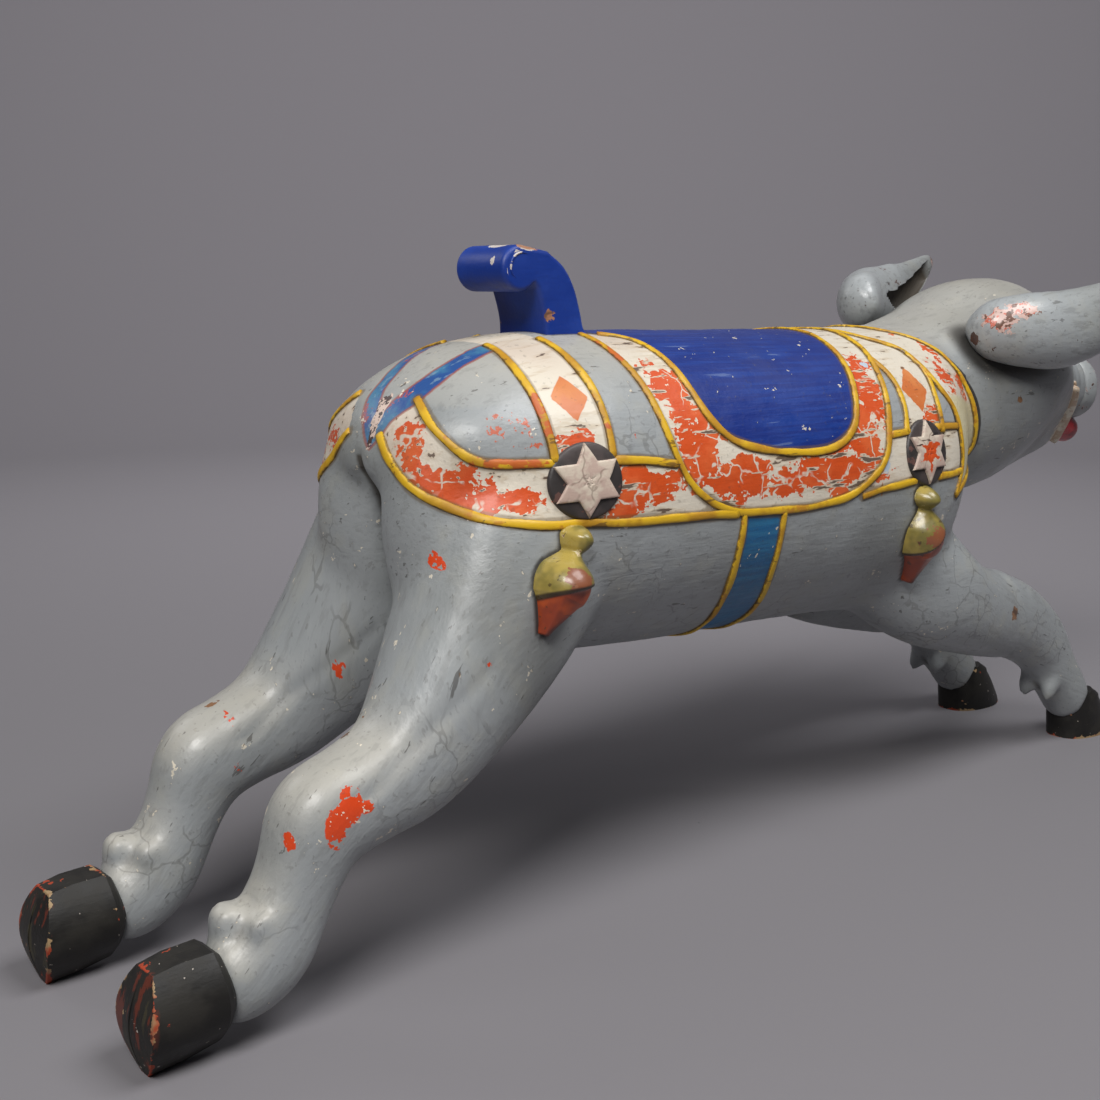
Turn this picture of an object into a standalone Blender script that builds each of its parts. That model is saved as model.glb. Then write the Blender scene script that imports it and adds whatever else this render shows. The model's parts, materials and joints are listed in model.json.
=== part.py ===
"""Carved and painted wooden carousel pig at a gallop, standing on its own four hooves.

Metres, +Z up. The pig faces +X, its left side is +Y, and it stands on z = 0. The figure is
drawn from the tips of its hind toes (x = 0) and moved at the end to the middle of its length.
"""

import math

import bmesh
import bpy
import numpy as np
from mathutils import Vector
from mathutils.bvhtree import BVHTree

FIGURE_LENGTH = 1.48
DRAWN_LENGTH = 1.48
SCALE = FIGURE_LENGTH / DRAWN_LENGTH

CARVING_VOXEL = 0.009
SOFTENING = 6
FIGURE_TRIANGLES = 4400
HAIRLINE = 0.000002
SEAT_GAP = 0.0006
CANTLE_WIDTH = 0.074
CANTLE_SEAT = 0.540
REAR_TASSEL_LENGTH = 0.102
FRONT_TASSEL_LENGTH = 0.120
TASSEL_INSET = 0.006

# Trunk: x, top, bottom, half width.
TRUNK = [
    (0.266, 0.455, 0.440, 0.024),
    (0.284, 0.490, 0.425, 0.074),
    (0.314, 0.520, 0.390, 0.112),
    (0.366, 0.547, 0.320, 0.140),
    (0.440, 0.560, 0.256, 0.159),
    (0.540, 0.561, 0.243, 0.165),
    (0.680, 0.559, 0.238, 0.166),
    (0.820, 0.557, 0.233, 0.166),
    (0.925, 0.557, 0.227, 0.164),
    (0.985, 0.559, 0.246, 0.150),
    (1.030, 0.560, 0.300, 0.122),
    (1.060, 0.558, 0.350, 0.090),
    (1.080, 0.545, 0.400, 0.056),
]

# Head: x, top, bottom, half width, and the share of the width that the jaw has lost at the bottom.
HEAD = [
    (0.985, 0.545, 0.400, 0.080, 0.00),
    (1.040, 0.575, 0.362, 0.118, 0.00),
    (1.110, 0.600, 0.346, 0.130, 0.05),
    (1.180, 0.617, 0.348, 0.130, 0.22),
    (1.240, 0.614, 0.356, 0.121, 0.42),
    (1.295, 0.590, 0.364, 0.102, 0.56),
    (1.340, 0.556, 0.373, 0.077, 0.60),
    (1.375, 0.520, 0.381, 0.052, 0.56),
    (1.400, 0.488, 0.389, 0.032, 0.48),
    (1.414, 0.460, 0.395, 0.015, 0.40),
]

SNOUT = [
    (1.260, 0.575, 0.440, 0.080),
    (1.320, 0.552, 0.436, 0.068),
    (1.370, 0.530, 0.430, 0.055),
    (1.410, 0.516, 0.427, 0.047),
    (1.438, 0.511, 0.425, 0.045),
]

# Snout disc: x, z of its middle, half height, half width.
SNOUT_DISC = [
    (1.430, 0.468, 0.040, 0.043),
    (1.438, 0.468, 0.045, 0.048),
    (1.448, 0.467, 0.045, 0.048),
    (1.452, 0.467, 0.040, 0.043),
]

# Hind leg: x, y, z, half width, half depth.
HIND_LEG = [
    (0.425, 0.066, 0.452, 0.066, 0.090),
    (0.390, 0.078, 0.375, 0.076, 0.098),
    (0.325, 0.088, 0.285, 0.074, 0.078),
    (0.248, 0.101, 0.206, 0.053, 0.054),
    (0.195, 0.102, 0.183, 0.044, 0.046),
    (0.158, 0.102, 0.168, 0.041, 0.046),
    (0.138, 0.102, 0.132, 0.036, 0.037),
    (0.122, 0.102, 0.100, 0.035, 0.036),
    (0.106, 0.102, 0.074, 0.036, 0.038),
    (0.082, 0.102, 0.056, 0.035, 0.037),
    (0.056, 0.102, 0.052, 0.030, 0.034),
]

# Buttock, from the tail down to the crotch: x, y, z, half width, half depth.
BUTTOCK = [
    (0.352, 0.048, 0.482, 0.028, 0.038),
    (0.340, 0.052, 0.452, 0.046, 0.062),
    (0.334, 0.053, 0.400, 0.052, 0.067),
    (0.335, 0.056, 0.340, 0.052, 0.060),
    (0.338, 0.066, 0.285, 0.046, 0.048),
    (0.335, 0.080, 0.245, 0.034, 0.032),
]

# Foreleg: x, y, z, half width, half depth.
FORELEG = [
    (0.935, 0.070, 0.305, 0.060, 0.080),
    (1.000, 0.086, 0.252, 0.064, 0.070),
    (1.070, 0.090, 0.219, 0.055, 0.058),
    (1.140, 0.090, 0.200, 0.045, 0.056),
    (1.208, 0.088, 0.178, 0.038, 0.050),
    (1.264, 0.088, 0.144, 0.033, 0.043),
    (1.300, 0.088, 0.104, 0.030, 0.036),
    (1.330, 0.088, 0.070, 0.030, 0.034),
    (1.350, 0.088, 0.046, 0.029, 0.033),
]

# Hind hoof: x and z of the keel, x and z of the top, half width, half width of the top.
HIND_HOOF = [
    (-0.022, 0.028, -0.018, 0.054, 0.006, 0.003),
    (-0.017, 0.010, -0.012, 0.073, 0.016, 0.005),
    (-0.005, 0.000, 0.000, 0.084, 0.026, 0.010),
    (0.042, 0.006, 0.030, 0.085, 0.032, 0.014),
    (0.082, 0.013, 0.054, 0.086, 0.036, 0.020),
    (0.094, 0.026, 0.070, 0.080, 0.030, 0.018),
]
KEEL_WIDTH = 0.008
HIND_FOOT_OUT = 0.101

# Front hoof: x of the heel, x of the toe, height, half width.
FRONT_HOOF = [
    (1.328, 1.438, 0.000, 0.034),
    (1.327, 1.432, 0.012, 0.034),
    (1.324, 1.408, 0.046, 0.031),
    (1.338, 1.382, 0.062, 0.026),
]
FRONT_FOOT_OUT = 0.088

# Ear: x, y, z, half width, outer bulge, hollow.
EAR = [
    (1.070, 0.085, 0.556, 0.026, 0.022, 0.000),
    (1.090, 0.114, 0.556, 0.038, 0.032, 0.000),
    (1.125, 0.136, 0.556, 0.046, 0.034, 0.010),
    (1.175, 0.150, 0.556, 0.047, 0.031, 0.022),
    (1.240, 0.164, 0.569, 0.039, 0.026, 0.020),
    (1.310, 0.180, 0.601, 0.025, 0.018, 0.010),
    (1.360, 0.188, 0.631, 0.012, 0.010, 0.003),
    (1.384, 0.191, 0.646, 0.004, 0.004, 0.000),
]
EAR_RIM = 0.007
# How far the root half of each ear sits off the drawn place: x, y outward, z.
EAR_SHIFT = {1: (0.012, -0.022, 0.036), -1: (0.000, 0.000, 0.000)}

# Cantle: the front of its profile from the toe up, and its back from the roll down, x and z.
CANTLE_FRONT = [
    (0.518, 0.556), (0.508, 0.563), (0.503, 0.580),
    (0.495, 0.603), (0.482, 0.622), (0.462, 0.636),
]
CANTLE_BACK = [(0.449, 0.602), (0.454, 0.588), (0.458, 0.572), (0.459, 0.556)]
CANTLE_ROLL = (0.428, 0.620, 0.0215)

TASSEL_LENGTH = {"rear": REAR_TASSEL_LENGTH, "front": FRONT_TASSEL_LENGTH}
# Tassel: share of its length from the top, half width, how proud it stands.
TASSEL = [
    (0.00, 0.004, 0.010),
    (0.05, 0.011, 0.019),
    (0.13, 0.014, 0.025),
    (0.22, 0.011, 0.020),
    (0.27, 0.009, 0.017),
    (0.34, 0.018, 0.024),
    (0.43, 0.026, 0.036),
    (0.56, 0.027, 0.040),
    (0.70, 0.023, 0.035),
    (0.72, 0.020, 0.031),
    (0.90, 0.010, 0.018),
    (1.00, 0.005, 0.012),
]

# Where each tassel hangs: x and z of its top, x and z of its tip.
TASSEL_PLACES = {"rear": (0.396, 0.396, 0.346, 0.303), "front": (0.882, 0.391, 0.905, 0.292)}

# The harness is laid out in wrap places: how far along, and the angle down from the top of the
# back about an axis at HARNESS_AXIS. Behind RUMP_CENTRE the rays fan out, one radian a RUMP_REACH.
HARNESS_AXIS = 0.395
RUMP_CENTRE = 0.40
RUMP_REACH = 0.14
PIPING = {
    "rump_upper": [
        (0.304, 22), (0.299, 36), (0.301, 48), (0.312, 59),
        (0.335, 65), (0.380, 68), (0.440, 70), (0.512, 73),
    ],
    "rump_lower": [
        (0.262, 17), (0.253, 36), (0.257, 57), (0.273, 72),
        (0.298, 81), (0.338, 86.5), (0.400, 89), (0.590, 92),
    ],
    "rear_strap_back": [(0.391, 12), (0.384, 29), (0.381, 46), (0.381, 68)],
    "rear_strap_front": [(0.441, 16), (0.440, 30), (0.440, 50), (0.438, 70)],
    "saddle_outer": [
        (0.498, 14), (0.498, 35), (0.504, 54), (0.513, 71), (0.536, 83),
        (0.585, 91), (0.650, 93), (0.720, 93), (0.778, 89), (0.818, 80),
        (0.836, 66), (0.852, 50), (0.868, 34), (0.880, 16), (0.884, -2),
    ],
    "saddle_inner": [
        (0.520, 14), (0.545, 20), (0.554, 32), (0.557, 48), (0.566, 60),
        (0.586, 67), (0.625, 71.5), (0.680, 74), (0.735, 73.5), (0.772, 68),
        (0.792, 57), (0.810, 43), (0.826, 24), (0.836, 8), (0.837, -2),
    ],
    "front_strap_back": [(0.864, 38), (0.873, 50), (0.870, 61), (0.862, 71)],
    "front_strap_front": [(0.882, 8), (0.902, 23), (0.933, 33), (0.942, 45), (0.936, 58), (0.928, 72)],
    "breast_post": [(0.940, 40), (0.948, 51), (0.968, 63), (0.974, 76), (0.974, 88), (0.958, 98)],
    "breast_upper": [(0.834, 71), (0.900, 70), (0.966, 70)],
    "breast_lower": [(0.780, 92), (0.835, 90), (0.900, 89), (0.974, 88)],
    "collar": [
        (0.950, -2), (0.960, 14), (0.990, 26), (1.020, 39),
        (1.046, 54), (1.060, 70), (1.052, 84), (0.958, 98),
    ],
    "girth_back": [(0.600, 92), (0.600, 115), (0.612, 138), (0.625, 160), (0.628, 182)],
    "girth_front": [(0.657, 93), (0.658, 114), (0.670, 135), (0.684, 160), (0.688, 182)],
}
PIPING_WIDTH = 0.016
PIPING_HEIGHT = 0.0045
PIPING_STEP = 0.030

# Rosettes: the wrap place of the middle.
ROSETTES = [(0.408, 75.5), (0.892, 79)]
ROSETTE_RADIUS = 0.036
ROSETTE_HEIGHT = 0.003
FLANK_RADIUS = 0.165
STAR_HEIGHT = 0.006

# Mouth, x and z in the middle plane: the corner, the upper lip, the chin.
MOUTH_CORNER = (1.350, 0.480)
UPPER_LIP = (1.396, 0.430)
CHIN = (1.413, 0.388)
GAPE_AHEAD = 0.10
GAPE_BELOW = 0.03
# Tongue from its root to its cut end: x, z, radius.
TONGUE = [(1.378, 0.434, 0.014), (1.425, 0.419, 0.0155), (1.4517, 0.408, 0.014)]

# Hollow of the mouth, eyes and nostrils: the middle (y is outward), and the radii in x, y and z.
MOUTH_HOLLOW = ((1.384, 0.000, 0.426), (0.022, 0.024, 0.022))
EYE = ((1.292, 0.097, 0.528), (0.016, 0.010, 0.013))
NOSTRIL = ((1.450, 0.018, 0.469), (0.008, 0.007, 0.012))

# Dew claw: x and z of its base, x and z of its tip, its radius; two stand either side of the leg's middle.
HIND_DEW_CLAW = (0.104, 0.096, 0.068, 0.106, 0.011)
FRONT_DEW_CLAW = (1.290, 0.124, 1.264, 0.064, 0.017)
DEW_CLAW_OUT = 0.016


def clear_scene():
    for obj in list(bpy.data.objects):
        bpy.data.objects.remove(obj)


def through(knots, steps):
    """Points of a Catmull-Rom curve through the rows of a table, steps for each stretch."""
    k = np.array(knots, float)
    k = np.vstack([2 * k[0] - k[1], k, 2 * k[-1] - k[-2]])
    t = np.arange(steps)[:, None] / steps
    rows = []
    for a, b, c, d in zip(k, k[1:], k[2:], k[3:]):
        slope, bend, twist = c - a, 2 * a - 5 * b + 4 * c - d, 3 * b - a - 3 * c + d
        rows.append(b + 0.5 * (slope * t + bend * t**2 + twist * t**3))
    return np.vstack(rows + [k[-2]])


def skin(name, rings):
    """A closed mesh object through rings of points, capped by a flat face at each end."""
    mesh = bmesh.new()
    loops = [[mesh.verts.new(p) for p in ring] for ring in rings]
    for a, b in zip(loops, loops[1:]):
        for i, _ in enumerate(a):
            j = (i + 1) % len(a)
            mesh.faces.new((a[i], a[j], b[j], b[i]))
    mesh.faces.new(list(reversed(loops[0])))
    mesh.faces.new(loops[-1])
    bmesh.ops.recalc_face_normals(mesh, faces=mesh.faces)
    data = bpy.data.meshes.new(name)
    mesh.to_mesh(data)
    mesh.free()
    obj = bpy.data.objects.new(name, data)
    bpy.context.scene.collection.objects.link(obj)
    return obj


def oval(around, power):
    """Cosine and sine of a rounded square's outline: power 2 is an ellipse, more is squarer."""
    angle = 2 * math.pi * np.arange(around) / around
    c, s = np.cos(angle), np.sin(angle)
    return np.sign(c) * abs(c) ** (2 / power), np.sign(s) * abs(s) ** (2 / power)


def upright_loft(name, table, around=36, steps=5, power=2.2):
    """A loft along x whose sections stand upright: x, top, bottom, half width, and what the jaw has lost."""
    c, s = oval(around, power)
    rings = []
    for x, top, bottom, half_width, *lost in through(table, steps):
        z = (top + bottom) / 2 + s * (top - bottom) / 2
        width = half_width * (1 - sum(lost) * np.maximum(-s, 0))
        rings.append(np.column_stack([np.full(around, x), c * width, z]) * SCALE)
    return skin(name, rings)


def limb_loft(name, table, side, around=20, steps=5, power=2.3):
    """A loft along a limb, its sections across it: each row is x, y, z, half width, half depth."""
    c, s = oval(around, power)
    rows = through(table, steps)
    run = np.gradient(rows[:, [0, 2]], axis=0)
    run /= np.linalg.norm(run, axis=1)[:, None]
    rings = []
    for (x, y, z, half_width, half_depth), (dx, dz) in zip(rows, run):
        px = x - dz * s * half_depth
        pz = z + dx * s * half_depth
        rings.append(np.column_stack([px, side * y + c * half_width, pz]) * SCALE)
    return skin(name, rings)


def joined(name, objects):
    """One object that holds the meshes of several."""
    mesh = bmesh.new()
    for obj in objects:
        mesh.from_mesh(obj.data)
        bpy.data.objects.remove(obj)
    data = bpy.data.meshes.new(name)
    mesh.to_mesh(data)
    mesh.free()
    obj = bpy.data.objects.new(name, data)
    bpy.context.scene.collection.objects.link(obj)
    return obj


def baked(obj):
    """The object with its modifiers worked into its mesh."""
    bpy.context.view_layer.update()
    seen = obj.evaluated_get(bpy.context.evaluated_depsgraph_get())
    data = bpy.data.meshes.new_from_object(seen)
    obj.modifiers.clear()
    obj.data = data
    return obj


def split(obj):
    """The object with every face cut into triangles, so that its surface is settled."""
    mesh = bmesh.new()
    mesh.from_mesh(obj.data)
    bmesh.ops.triangulate(mesh, faces=mesh.faces)
    mesh.to_mesh(obj.data)
    mesh.free()
    return obj


def mended(obj):
    """The object with the hairline cracks and loose flaps of a cut closed again."""
    mesh = bmesh.new()
    mesh.from_mesh(obj.data)
    if any(not e.is_manifold for e in mesh.edges):
        bmesh.ops.remove_doubles(mesh, verts=mesh.verts, dist=HAIRLINE)
        flaps = [
            f for f in mesh.faces
            if any(e.is_boundary for e in f.edges) and any(len(e.link_faces) > 2 for e in f.edges)
        ]
        bmesh.ops.delete(mesh, geom=flaps, context="FACES")
        cracks = [e for e in mesh.edges if e.is_boundary]
        bmesh.ops.holes_fill(mesh, edges=cracks, sides=0)
        stray = [e for e in mesh.edges if not e.link_faces]
        bmesh.ops.delete(mesh, geom=stray, context="EDGES")
        bmesh.ops.recalc_face_normals(mesh, faces=mesh.faces)
        mesh.to_mesh(obj.data)
    mesh.free()
    return obj


def triangle_count(mesh):
    return sum(len(p.vertices) - 2 for p in mesh.polygons)


def snout_disc():
    """The flat end of the nose, standing a little proud of the snout all round."""
    c, s = oval(24, 2.2)
    rings = []
    for x, z, half_height, half_width in SNOUT_DISC:
        rings.append(np.column_stack([np.full(24, x), c * half_width, z + s * half_height]) * SCALE)
    return skin("snout_disc", rings)


def rough_figure():
    """Trunk, head and legs run together and softened."""
    masses = [upright_loft("trunk", TRUNK), upright_loft("head", HEAD), upright_loft("snout", SNOUT)]
    for side in (-1, 1):
        masses.append(limb_loft("hind_leg", HIND_LEG, side))
        masses.append(limb_loft("buttock", BUTTOCK, side))
        masses.append(limb_loft("foreleg", FORELEG, side))
    pig = joined("pig", masses)
    remesh = pig.modifiers.new("carve", "REMESH")
    remesh.mode = "VOXEL"
    remesh.voxel_size = CARVING_VOXEL * SCALE
    smooth = pig.modifiers.new("soften", "SMOOTH")
    smooth.factor = 0.5
    smooth.iterations = SOFTENING
    return baked(pig)


def thinned(pig):
    """The figure brought down to a few thousand triangles."""
    decimate = pig.modifiers.new("thin", "DECIMATE")
    decimate.ratio = FIGURE_TRIANGLES / triangle_count(pig.data)
    return mended(baked(pig))


def hoof_ring(keel_x, keel_z, top_x, top_z, half_width, top_half, y, steps=5):
    """A pointed oval standing on its keel: sides that swell to the half width, then a flat top."""
    rise = np.linspace(0, 1, steps)
    swell = np.sin(np.pi * (0.08 + 0.80 * rise)) ** 0.8
    swell = np.where(rise == 0, 0, swell) * half_width
    swell[0], swell[-1] = KEEL_WIDTH / 2, top_half
    x, z = keel_x + (top_x - keel_x) * rise, keel_z + (top_z - keel_z) * rise
    right = list(zip(x, y - swell, z))
    left = [(p[0], 2 * y - p[1], p[2]) for p in reversed(right)]
    return np.array(right + left) * SCALE


def hind_hoof(side):
    rings = [hoof_ring(*row, side * HIND_FOOT_OUT) for row in HIND_HOOF]
    return skin("hind_hoof", rings)


def front_hoof(side, around=14):
    rings = []
    for heel, toe, z, half_width in FRONT_HOOF:
        angle = 2 * math.pi * np.arange(around) / around
        c, s = np.cos(angle), np.sin(angle)
        x = (heel + toe) / 2 + c * (toe - heel) / 2
        y = np.sign(s) * abs(s) ** 0.75 * half_width * (1 - 0.25 * np.maximum(c, 0) ** 2)
        rings.append(np.column_stack([x, side * FRONT_FOOT_OUT + y, np.full(around, z)]) * SCALE)
    return skin("front_hoof", rings)


def ear(name, side, around=12, steps=2):
    """A pointed ear: bulging outside, hollow inside, its sections across its length."""
    rows = through(EAR, steps)
    run = np.gradient(rows[:, :3], axis=0)
    run /= np.linalg.norm(run, axis=1)[:, None]
    rings = []
    for row, along, share in zip(rows, run, np.linspace(2, 0, len(rows)).clip(0, 1)):
        out = np.cross((0, 0, 1), along)
        out /= np.linalg.norm(out)
        up = np.cross(along, out)
        angle = 2 * math.pi * np.arange(around) / around
        c, s = np.cos(angle), np.sin(angle)
        bulge = np.where(s > 0, s * row[4], s * EAR_RIM + s * s * row[5])
        points = row[:3] + np.outer(c * row[3], up) + np.outer(bulge, out)
        points += np.array(EAR_SHIFT[side]) * share
        points[:, 1] *= side
        rings.append(points * SCALE)
    return skin(name, rings)


def cantle():
    """The rolled upright behind the seat: one profile, the same right across."""
    cx, cz, r = CANTLE_ROLL
    turn = np.radians(np.linspace(75, 320, 10))
    roll = [(cx + r * math.cos(a), cz + r * math.sin(a)) for a in turn]
    foot = [(CANTLE_BACK[-1][0], CANTLE_SEAT), (CANTLE_FRONT[0][0], CANTLE_SEAT)]
    outline = CANTLE_FRONT + roll + CANTLE_BACK + foot
    half = CANTLE_WIDTH / 2
    rings = []
    for y in (-half, half):
        rings.append([(x * SCALE, y * SCALE, z * SCALE) for x, z in outline])
    return skin("cantle", rings)


def tassel(name, place, side, surface, around=12):
    """A half-round tassel hung on the flank: ball, neck, bell and pointed fringe."""
    ax, az, bx, bz = TASSEL_PLACES[place]
    ends = []
    for x, z in ((ax, az), (bx, bz)):
        hit = surface.ray_cast(Vector((x, side * 0.5, z)) * SCALE, Vector((0, -side, 0)))
        ends.append(np.array(hit[0]))
    along = ends[1] - ends[0]
    along /= np.linalg.norm(along)
    out = np.array((0.0, side, 0.0))
    out -= along * out.dot(along)
    out /= np.linalg.norm(out)
    across = np.cross(along, out)
    angle = math.pi * np.arange(around) / (around - 1)
    rings = []
    for share, half_width, proud in TASSEL:
        spine = ends[0] + along * share * TASSEL_LENGTH[place] * SCALE
        reach = proud + TASSEL_INSET
        ring = spine - out * TASSEL_INSET * SCALE + np.outer(np.cos(angle) * half_width * SCALE, across)
        rings.append(ring + np.outer(np.sin(angle) * reach * SCALE, out))
    return skin(name, rings)


def spaced(points, step):
    """The same path with its points even and about a step apart."""
    points = np.array(points)
    along = np.concatenate([[0], np.cumsum(np.linalg.norm(np.diff(points, axis=0), axis=1))])
    even = np.linspace(0, along[-1], max(3, int(round(along[-1] / step)) + 1))
    return np.column_stack([np.interp(even, along, points[:, i]) for i in range(points.shape[1])])


def on_body(surface, side, along, angle):
    """The point and the outward direction of the body at a wrap place."""
    a = math.radians(angle)
    lean = max(0.0, RUMP_CENTRE - along) / RUMP_REACH
    out = Vector((-math.sin(lean), math.cos(lean) * side * math.sin(a), math.cos(lean) * math.cos(a)))
    middle = Vector((max(along, RUMP_CENTRE), 0, HARNESS_AXIS)) * SCALE
    hit = surface.ray_cast(middle + out * SCALE, -out)
    return np.array(hit[0]), np.array(hit[1])


def piping(surface, side, knots):
    """A ridge laid along the body: its section a low triangle with the base sunk in the wood."""
    path = spaced([on_body(surface, side, *place)[0] for place in through(knots, 8)], PIPING_STEP * SCALE)
    near = [surface.find_nearest(Vector(p)) for p in path]
    spine, out = np.array([n[0] for n in near]), np.array([n[1] for n in near])
    out[1:-1] = (out[:-2] + out[1:-1] + out[2:]) / 3
    run = np.gradient(spine, axis=0)
    run /= np.linalg.norm(run, axis=1)[:, None]
    out -= run * (out * run).sum(axis=1)[:, None]
    out /= np.linalg.norm(out, axis=1)[:, None]
    across = np.cross(run, out)
    half, high = PIPING_WIDTH * SCALE / 2, PIPING_HEIGHT * SCALE
    low, top = spine - out * high, spine + out * high
    rings = list(zip(low - across * half, top, low + across * half))
    return skin("piping", rings)


def medallion(surface, side, place, outline, height):
    """A plate that follows the flank: an outline of (along, down) offsets raised by a height."""
    low, high = [], []
    for along, down in outline:
        point, out = on_body(surface, side, place[0] + along, place[1] + math.degrees(down / FLANK_RADIUS))
        low.append(point - out * 0.004 * SCALE)
        high.append(point + out * height * SCALE)
    return skin("medallion", [low, high])


def rosette(surface, side, place):
    turn = 2 * math.pi * np.arange(16) / 16
    disc = [(ROSETTE_RADIUS * math.cos(a), ROSETTE_RADIUS * math.sin(a)) for a in turn]
    star = []
    for i in range(12):
        a = math.pi / 2 + math.pi * i / 6
        reach = ROSETTE_RADIUS * (0.92 if i % 2 == 0 else 0.52)
        star.append((reach * math.cos(a), reach * math.sin(a)))
    plates = ((disc, ROSETTE_HEIGHT), (star, STAR_HEIGHT))
    return [medallion(surface, side, place, outline, height) for outline, height in plates]


def dew_claw(row, y, around=7):
    """A short claw that tapers to a blunt tip."""
    x, z, tip_x, tip_z, radius = row
    base, tip = np.array((x, y, z)), np.array((tip_x, y, tip_z))
    along = (tip - base) / np.linalg.norm(tip - base)
    across = np.array((0.0, 1.0, 0.0))
    over = np.cross(along, across)
    turn = 2 * math.pi * np.arange(around) / around
    rings = []
    for share, size in ((0.0, 1.0), (0.6, 0.95), (0.9, 0.6), (1.0, 0.25)):
        ring = base + (tip - base) * share
        ring = ring + (np.outer(np.cos(turn), across) + np.outer(np.sin(turn), over)) * radius * size
        rings.append(ring * SCALE)
    return skin("dew_claw", rings)


def mouth_wedge():
    """The gape of the mouth: from the corner down to the upper lip and ahead under it, right through."""
    ahead, below = UPPER_LIP[0] + GAPE_AHEAD, CHIN[1] - GAPE_BELOW
    outline = [MOUTH_CORNER, UPPER_LIP, (ahead, UPPER_LIP[1]), (ahead, below), (CHIN[0], below), CHIN]
    rings = [[(x * SCALE, y * SCALE, z * SCALE) for x, z in outline] for y in (-0.12, 0.12)]
    return skin("mouth_wedge", rings)


def ball(centre, radii, side=1, around=10, high=6):
    """An ellipsoid with few faces, on one side of the middle plane."""
    turn = 2 * math.pi * np.arange(around) / around
    rings = []
    for tilt in np.radians(np.linspace(-84, 84, high)):
        flat = np.column_stack([np.cos(turn), np.sin(turn)]) * math.cos(tilt)
        ring = np.column_stack([flat, np.full(around, math.sin(tilt))]) * radii
        rings.append((ring + np.array(centre) * (1, side, 1)) * SCALE)
    return skin("ball", rings)


def tongue(around=10):
    turn = 2 * math.pi * np.arange(around) / around
    rings = []
    for x, z, radius in TONGUE:
        ring = np.column_stack([np.sin(turn) * 0.45, np.cos(turn), np.sin(turn)]) * radius * (1.0, 1.15, 0.9)
        rings.append((ring + (x, 0, z)) * SCALE)
    return skin("tongue", rings)


def worked(target, tool, operation):
    """The target united with a tool, or with the tool's shape taken out of it."""
    cut = target.modifiers.new("cut", "BOOLEAN")
    cut.operation = operation
    cut.solver = "EXACT"
    cut.object = tool
    mended(baked(target))
    bpy.data.objects.remove(tool)


def seat(piece):
    """A copy of a piece, larger by the gap all round, that cuts its seat."""
    mesh = bmesh.new()
    mesh.from_mesh(piece.data)
    mesh.normal_update()
    normals = [v.normal.copy() for v in mesh.verts]
    for v, n in zip(mesh.verts, normals):
        v.co += n * SEAT_GAP
    data = bpy.data.meshes.new("seat")
    mesh.to_mesh(data)
    mesh.free()
    obj = bpy.data.objects.new("seat", data)
    bpy.context.scene.collection.objects.link(obj)
    return obj


def surface_of(obj):
    points, faces = [v.co for v in obj.data.vertices], [p.vertices for p in obj.data.polygons]
    return BVHTree.FromPolygons(points, faces)


def paint(obj, name, colour, roughness):
    material = bpy.data.materials.new(name)
    material.use_nodes = True
    shader = material.node_tree.nodes["Principled BSDF"]
    shader.inputs["Base Color"].default_value = (*colour, 1)
    shader.inputs["Roughness"].default_value = roughness
    obj.data.materials.clear()
    obj.data.materials.append(material)


def centre_on_length(objects):
    """Move every piece so that the middle of the whole length stands at x = 0."""
    reach = [v.co.x for obj in objects for v in obj.data.vertices]
    middle = (min(reach) + max(reach)) / 2
    for obj in objects:
        for v in obj.data.vertices:
            v.co.x -= middle
    return middle


def main():
    clear_scene()
    pig = rough_figure()
    surface = surface_of(pig)
    ears = [ear("ear_left", 1), ear("ear_right", -1)]
    seat_back = cantle()
    tassels = []
    for place in TASSEL_PLACES:
        for word, side in (("left", 1), ("right", -1)):
            tassels.append(tassel("tassel_%s_%s" % (place, word), place, side, surface))
    worked(pig, snout_disc(), "UNION")
    for side in (-1, 1):
        for knots in PIPING.values():
            worked(pig, piping(surface, side, knots), "UNION")
        for out in (-DEW_CLAW_OUT, DEW_CLAW_OUT):
            worked(pig, dew_claw(HIND_DEW_CLAW, side * HIND_FOOT_OUT + out), "UNION")
            worked(pig, dew_claw(FRONT_DEW_CLAW, side * FRONT_FOOT_OUT + out), "UNION")
        worked(pig, ball(*EYE, side), "UNION")
    thinned(pig)
    worked(pig, mouth_wedge(), "DIFFERENCE")
    worked(pig, ball(*MOUTH_HOLLOW), "DIFFERENCE")
    worked(pig, tongue(), "UNION")
    for side in (-1, 1):
        for place in ROSETTES:
            for plate in rosette(surface, side, place):
                worked(pig, plate, "UNION")
        worked(pig, ball(*NOSTRIL, side), "DIFFERENCE")
        worked(pig, hind_hoof(side), "UNION")
        worked(pig, front_hoof(side), "UNION")
    for piece in ears + [seat_back] + tassels:
        worked(pig, seat(split(piece)), "DIFFERENCE")
    paint(pig, "grey_paint", (0.33, 0.37, 0.38), 0.35)
    for piece in ears:
        paint(piece, piece.name + "_paint", (0.33, 0.37, 0.38), 0.35)
    paint(seat_back, "blue_paint", (0.012, 0.045, 0.30), 0.35)
    for piece in tassels:
        paint(piece, piece.name + "_paint", (0.42, 0.31, 0.08), 0.45)
    centre_on_length([pig, seat_back] + ears + tassels)


main()
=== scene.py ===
"""Looks of the carved and painted carousel pig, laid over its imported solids.

Metres, +Z up. The tables are drawn with x = 0 at the tips of the hind toes; DRAWN_MIDDLE is taken
off every x when a mesh is made, so that a piece lies where its solid does.
"""

import json
import math

import bmesh
import bpy
import numpy as np
from mathutils import Matrix, Vector
from mathutils.bvhtree import BVHTree

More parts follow.
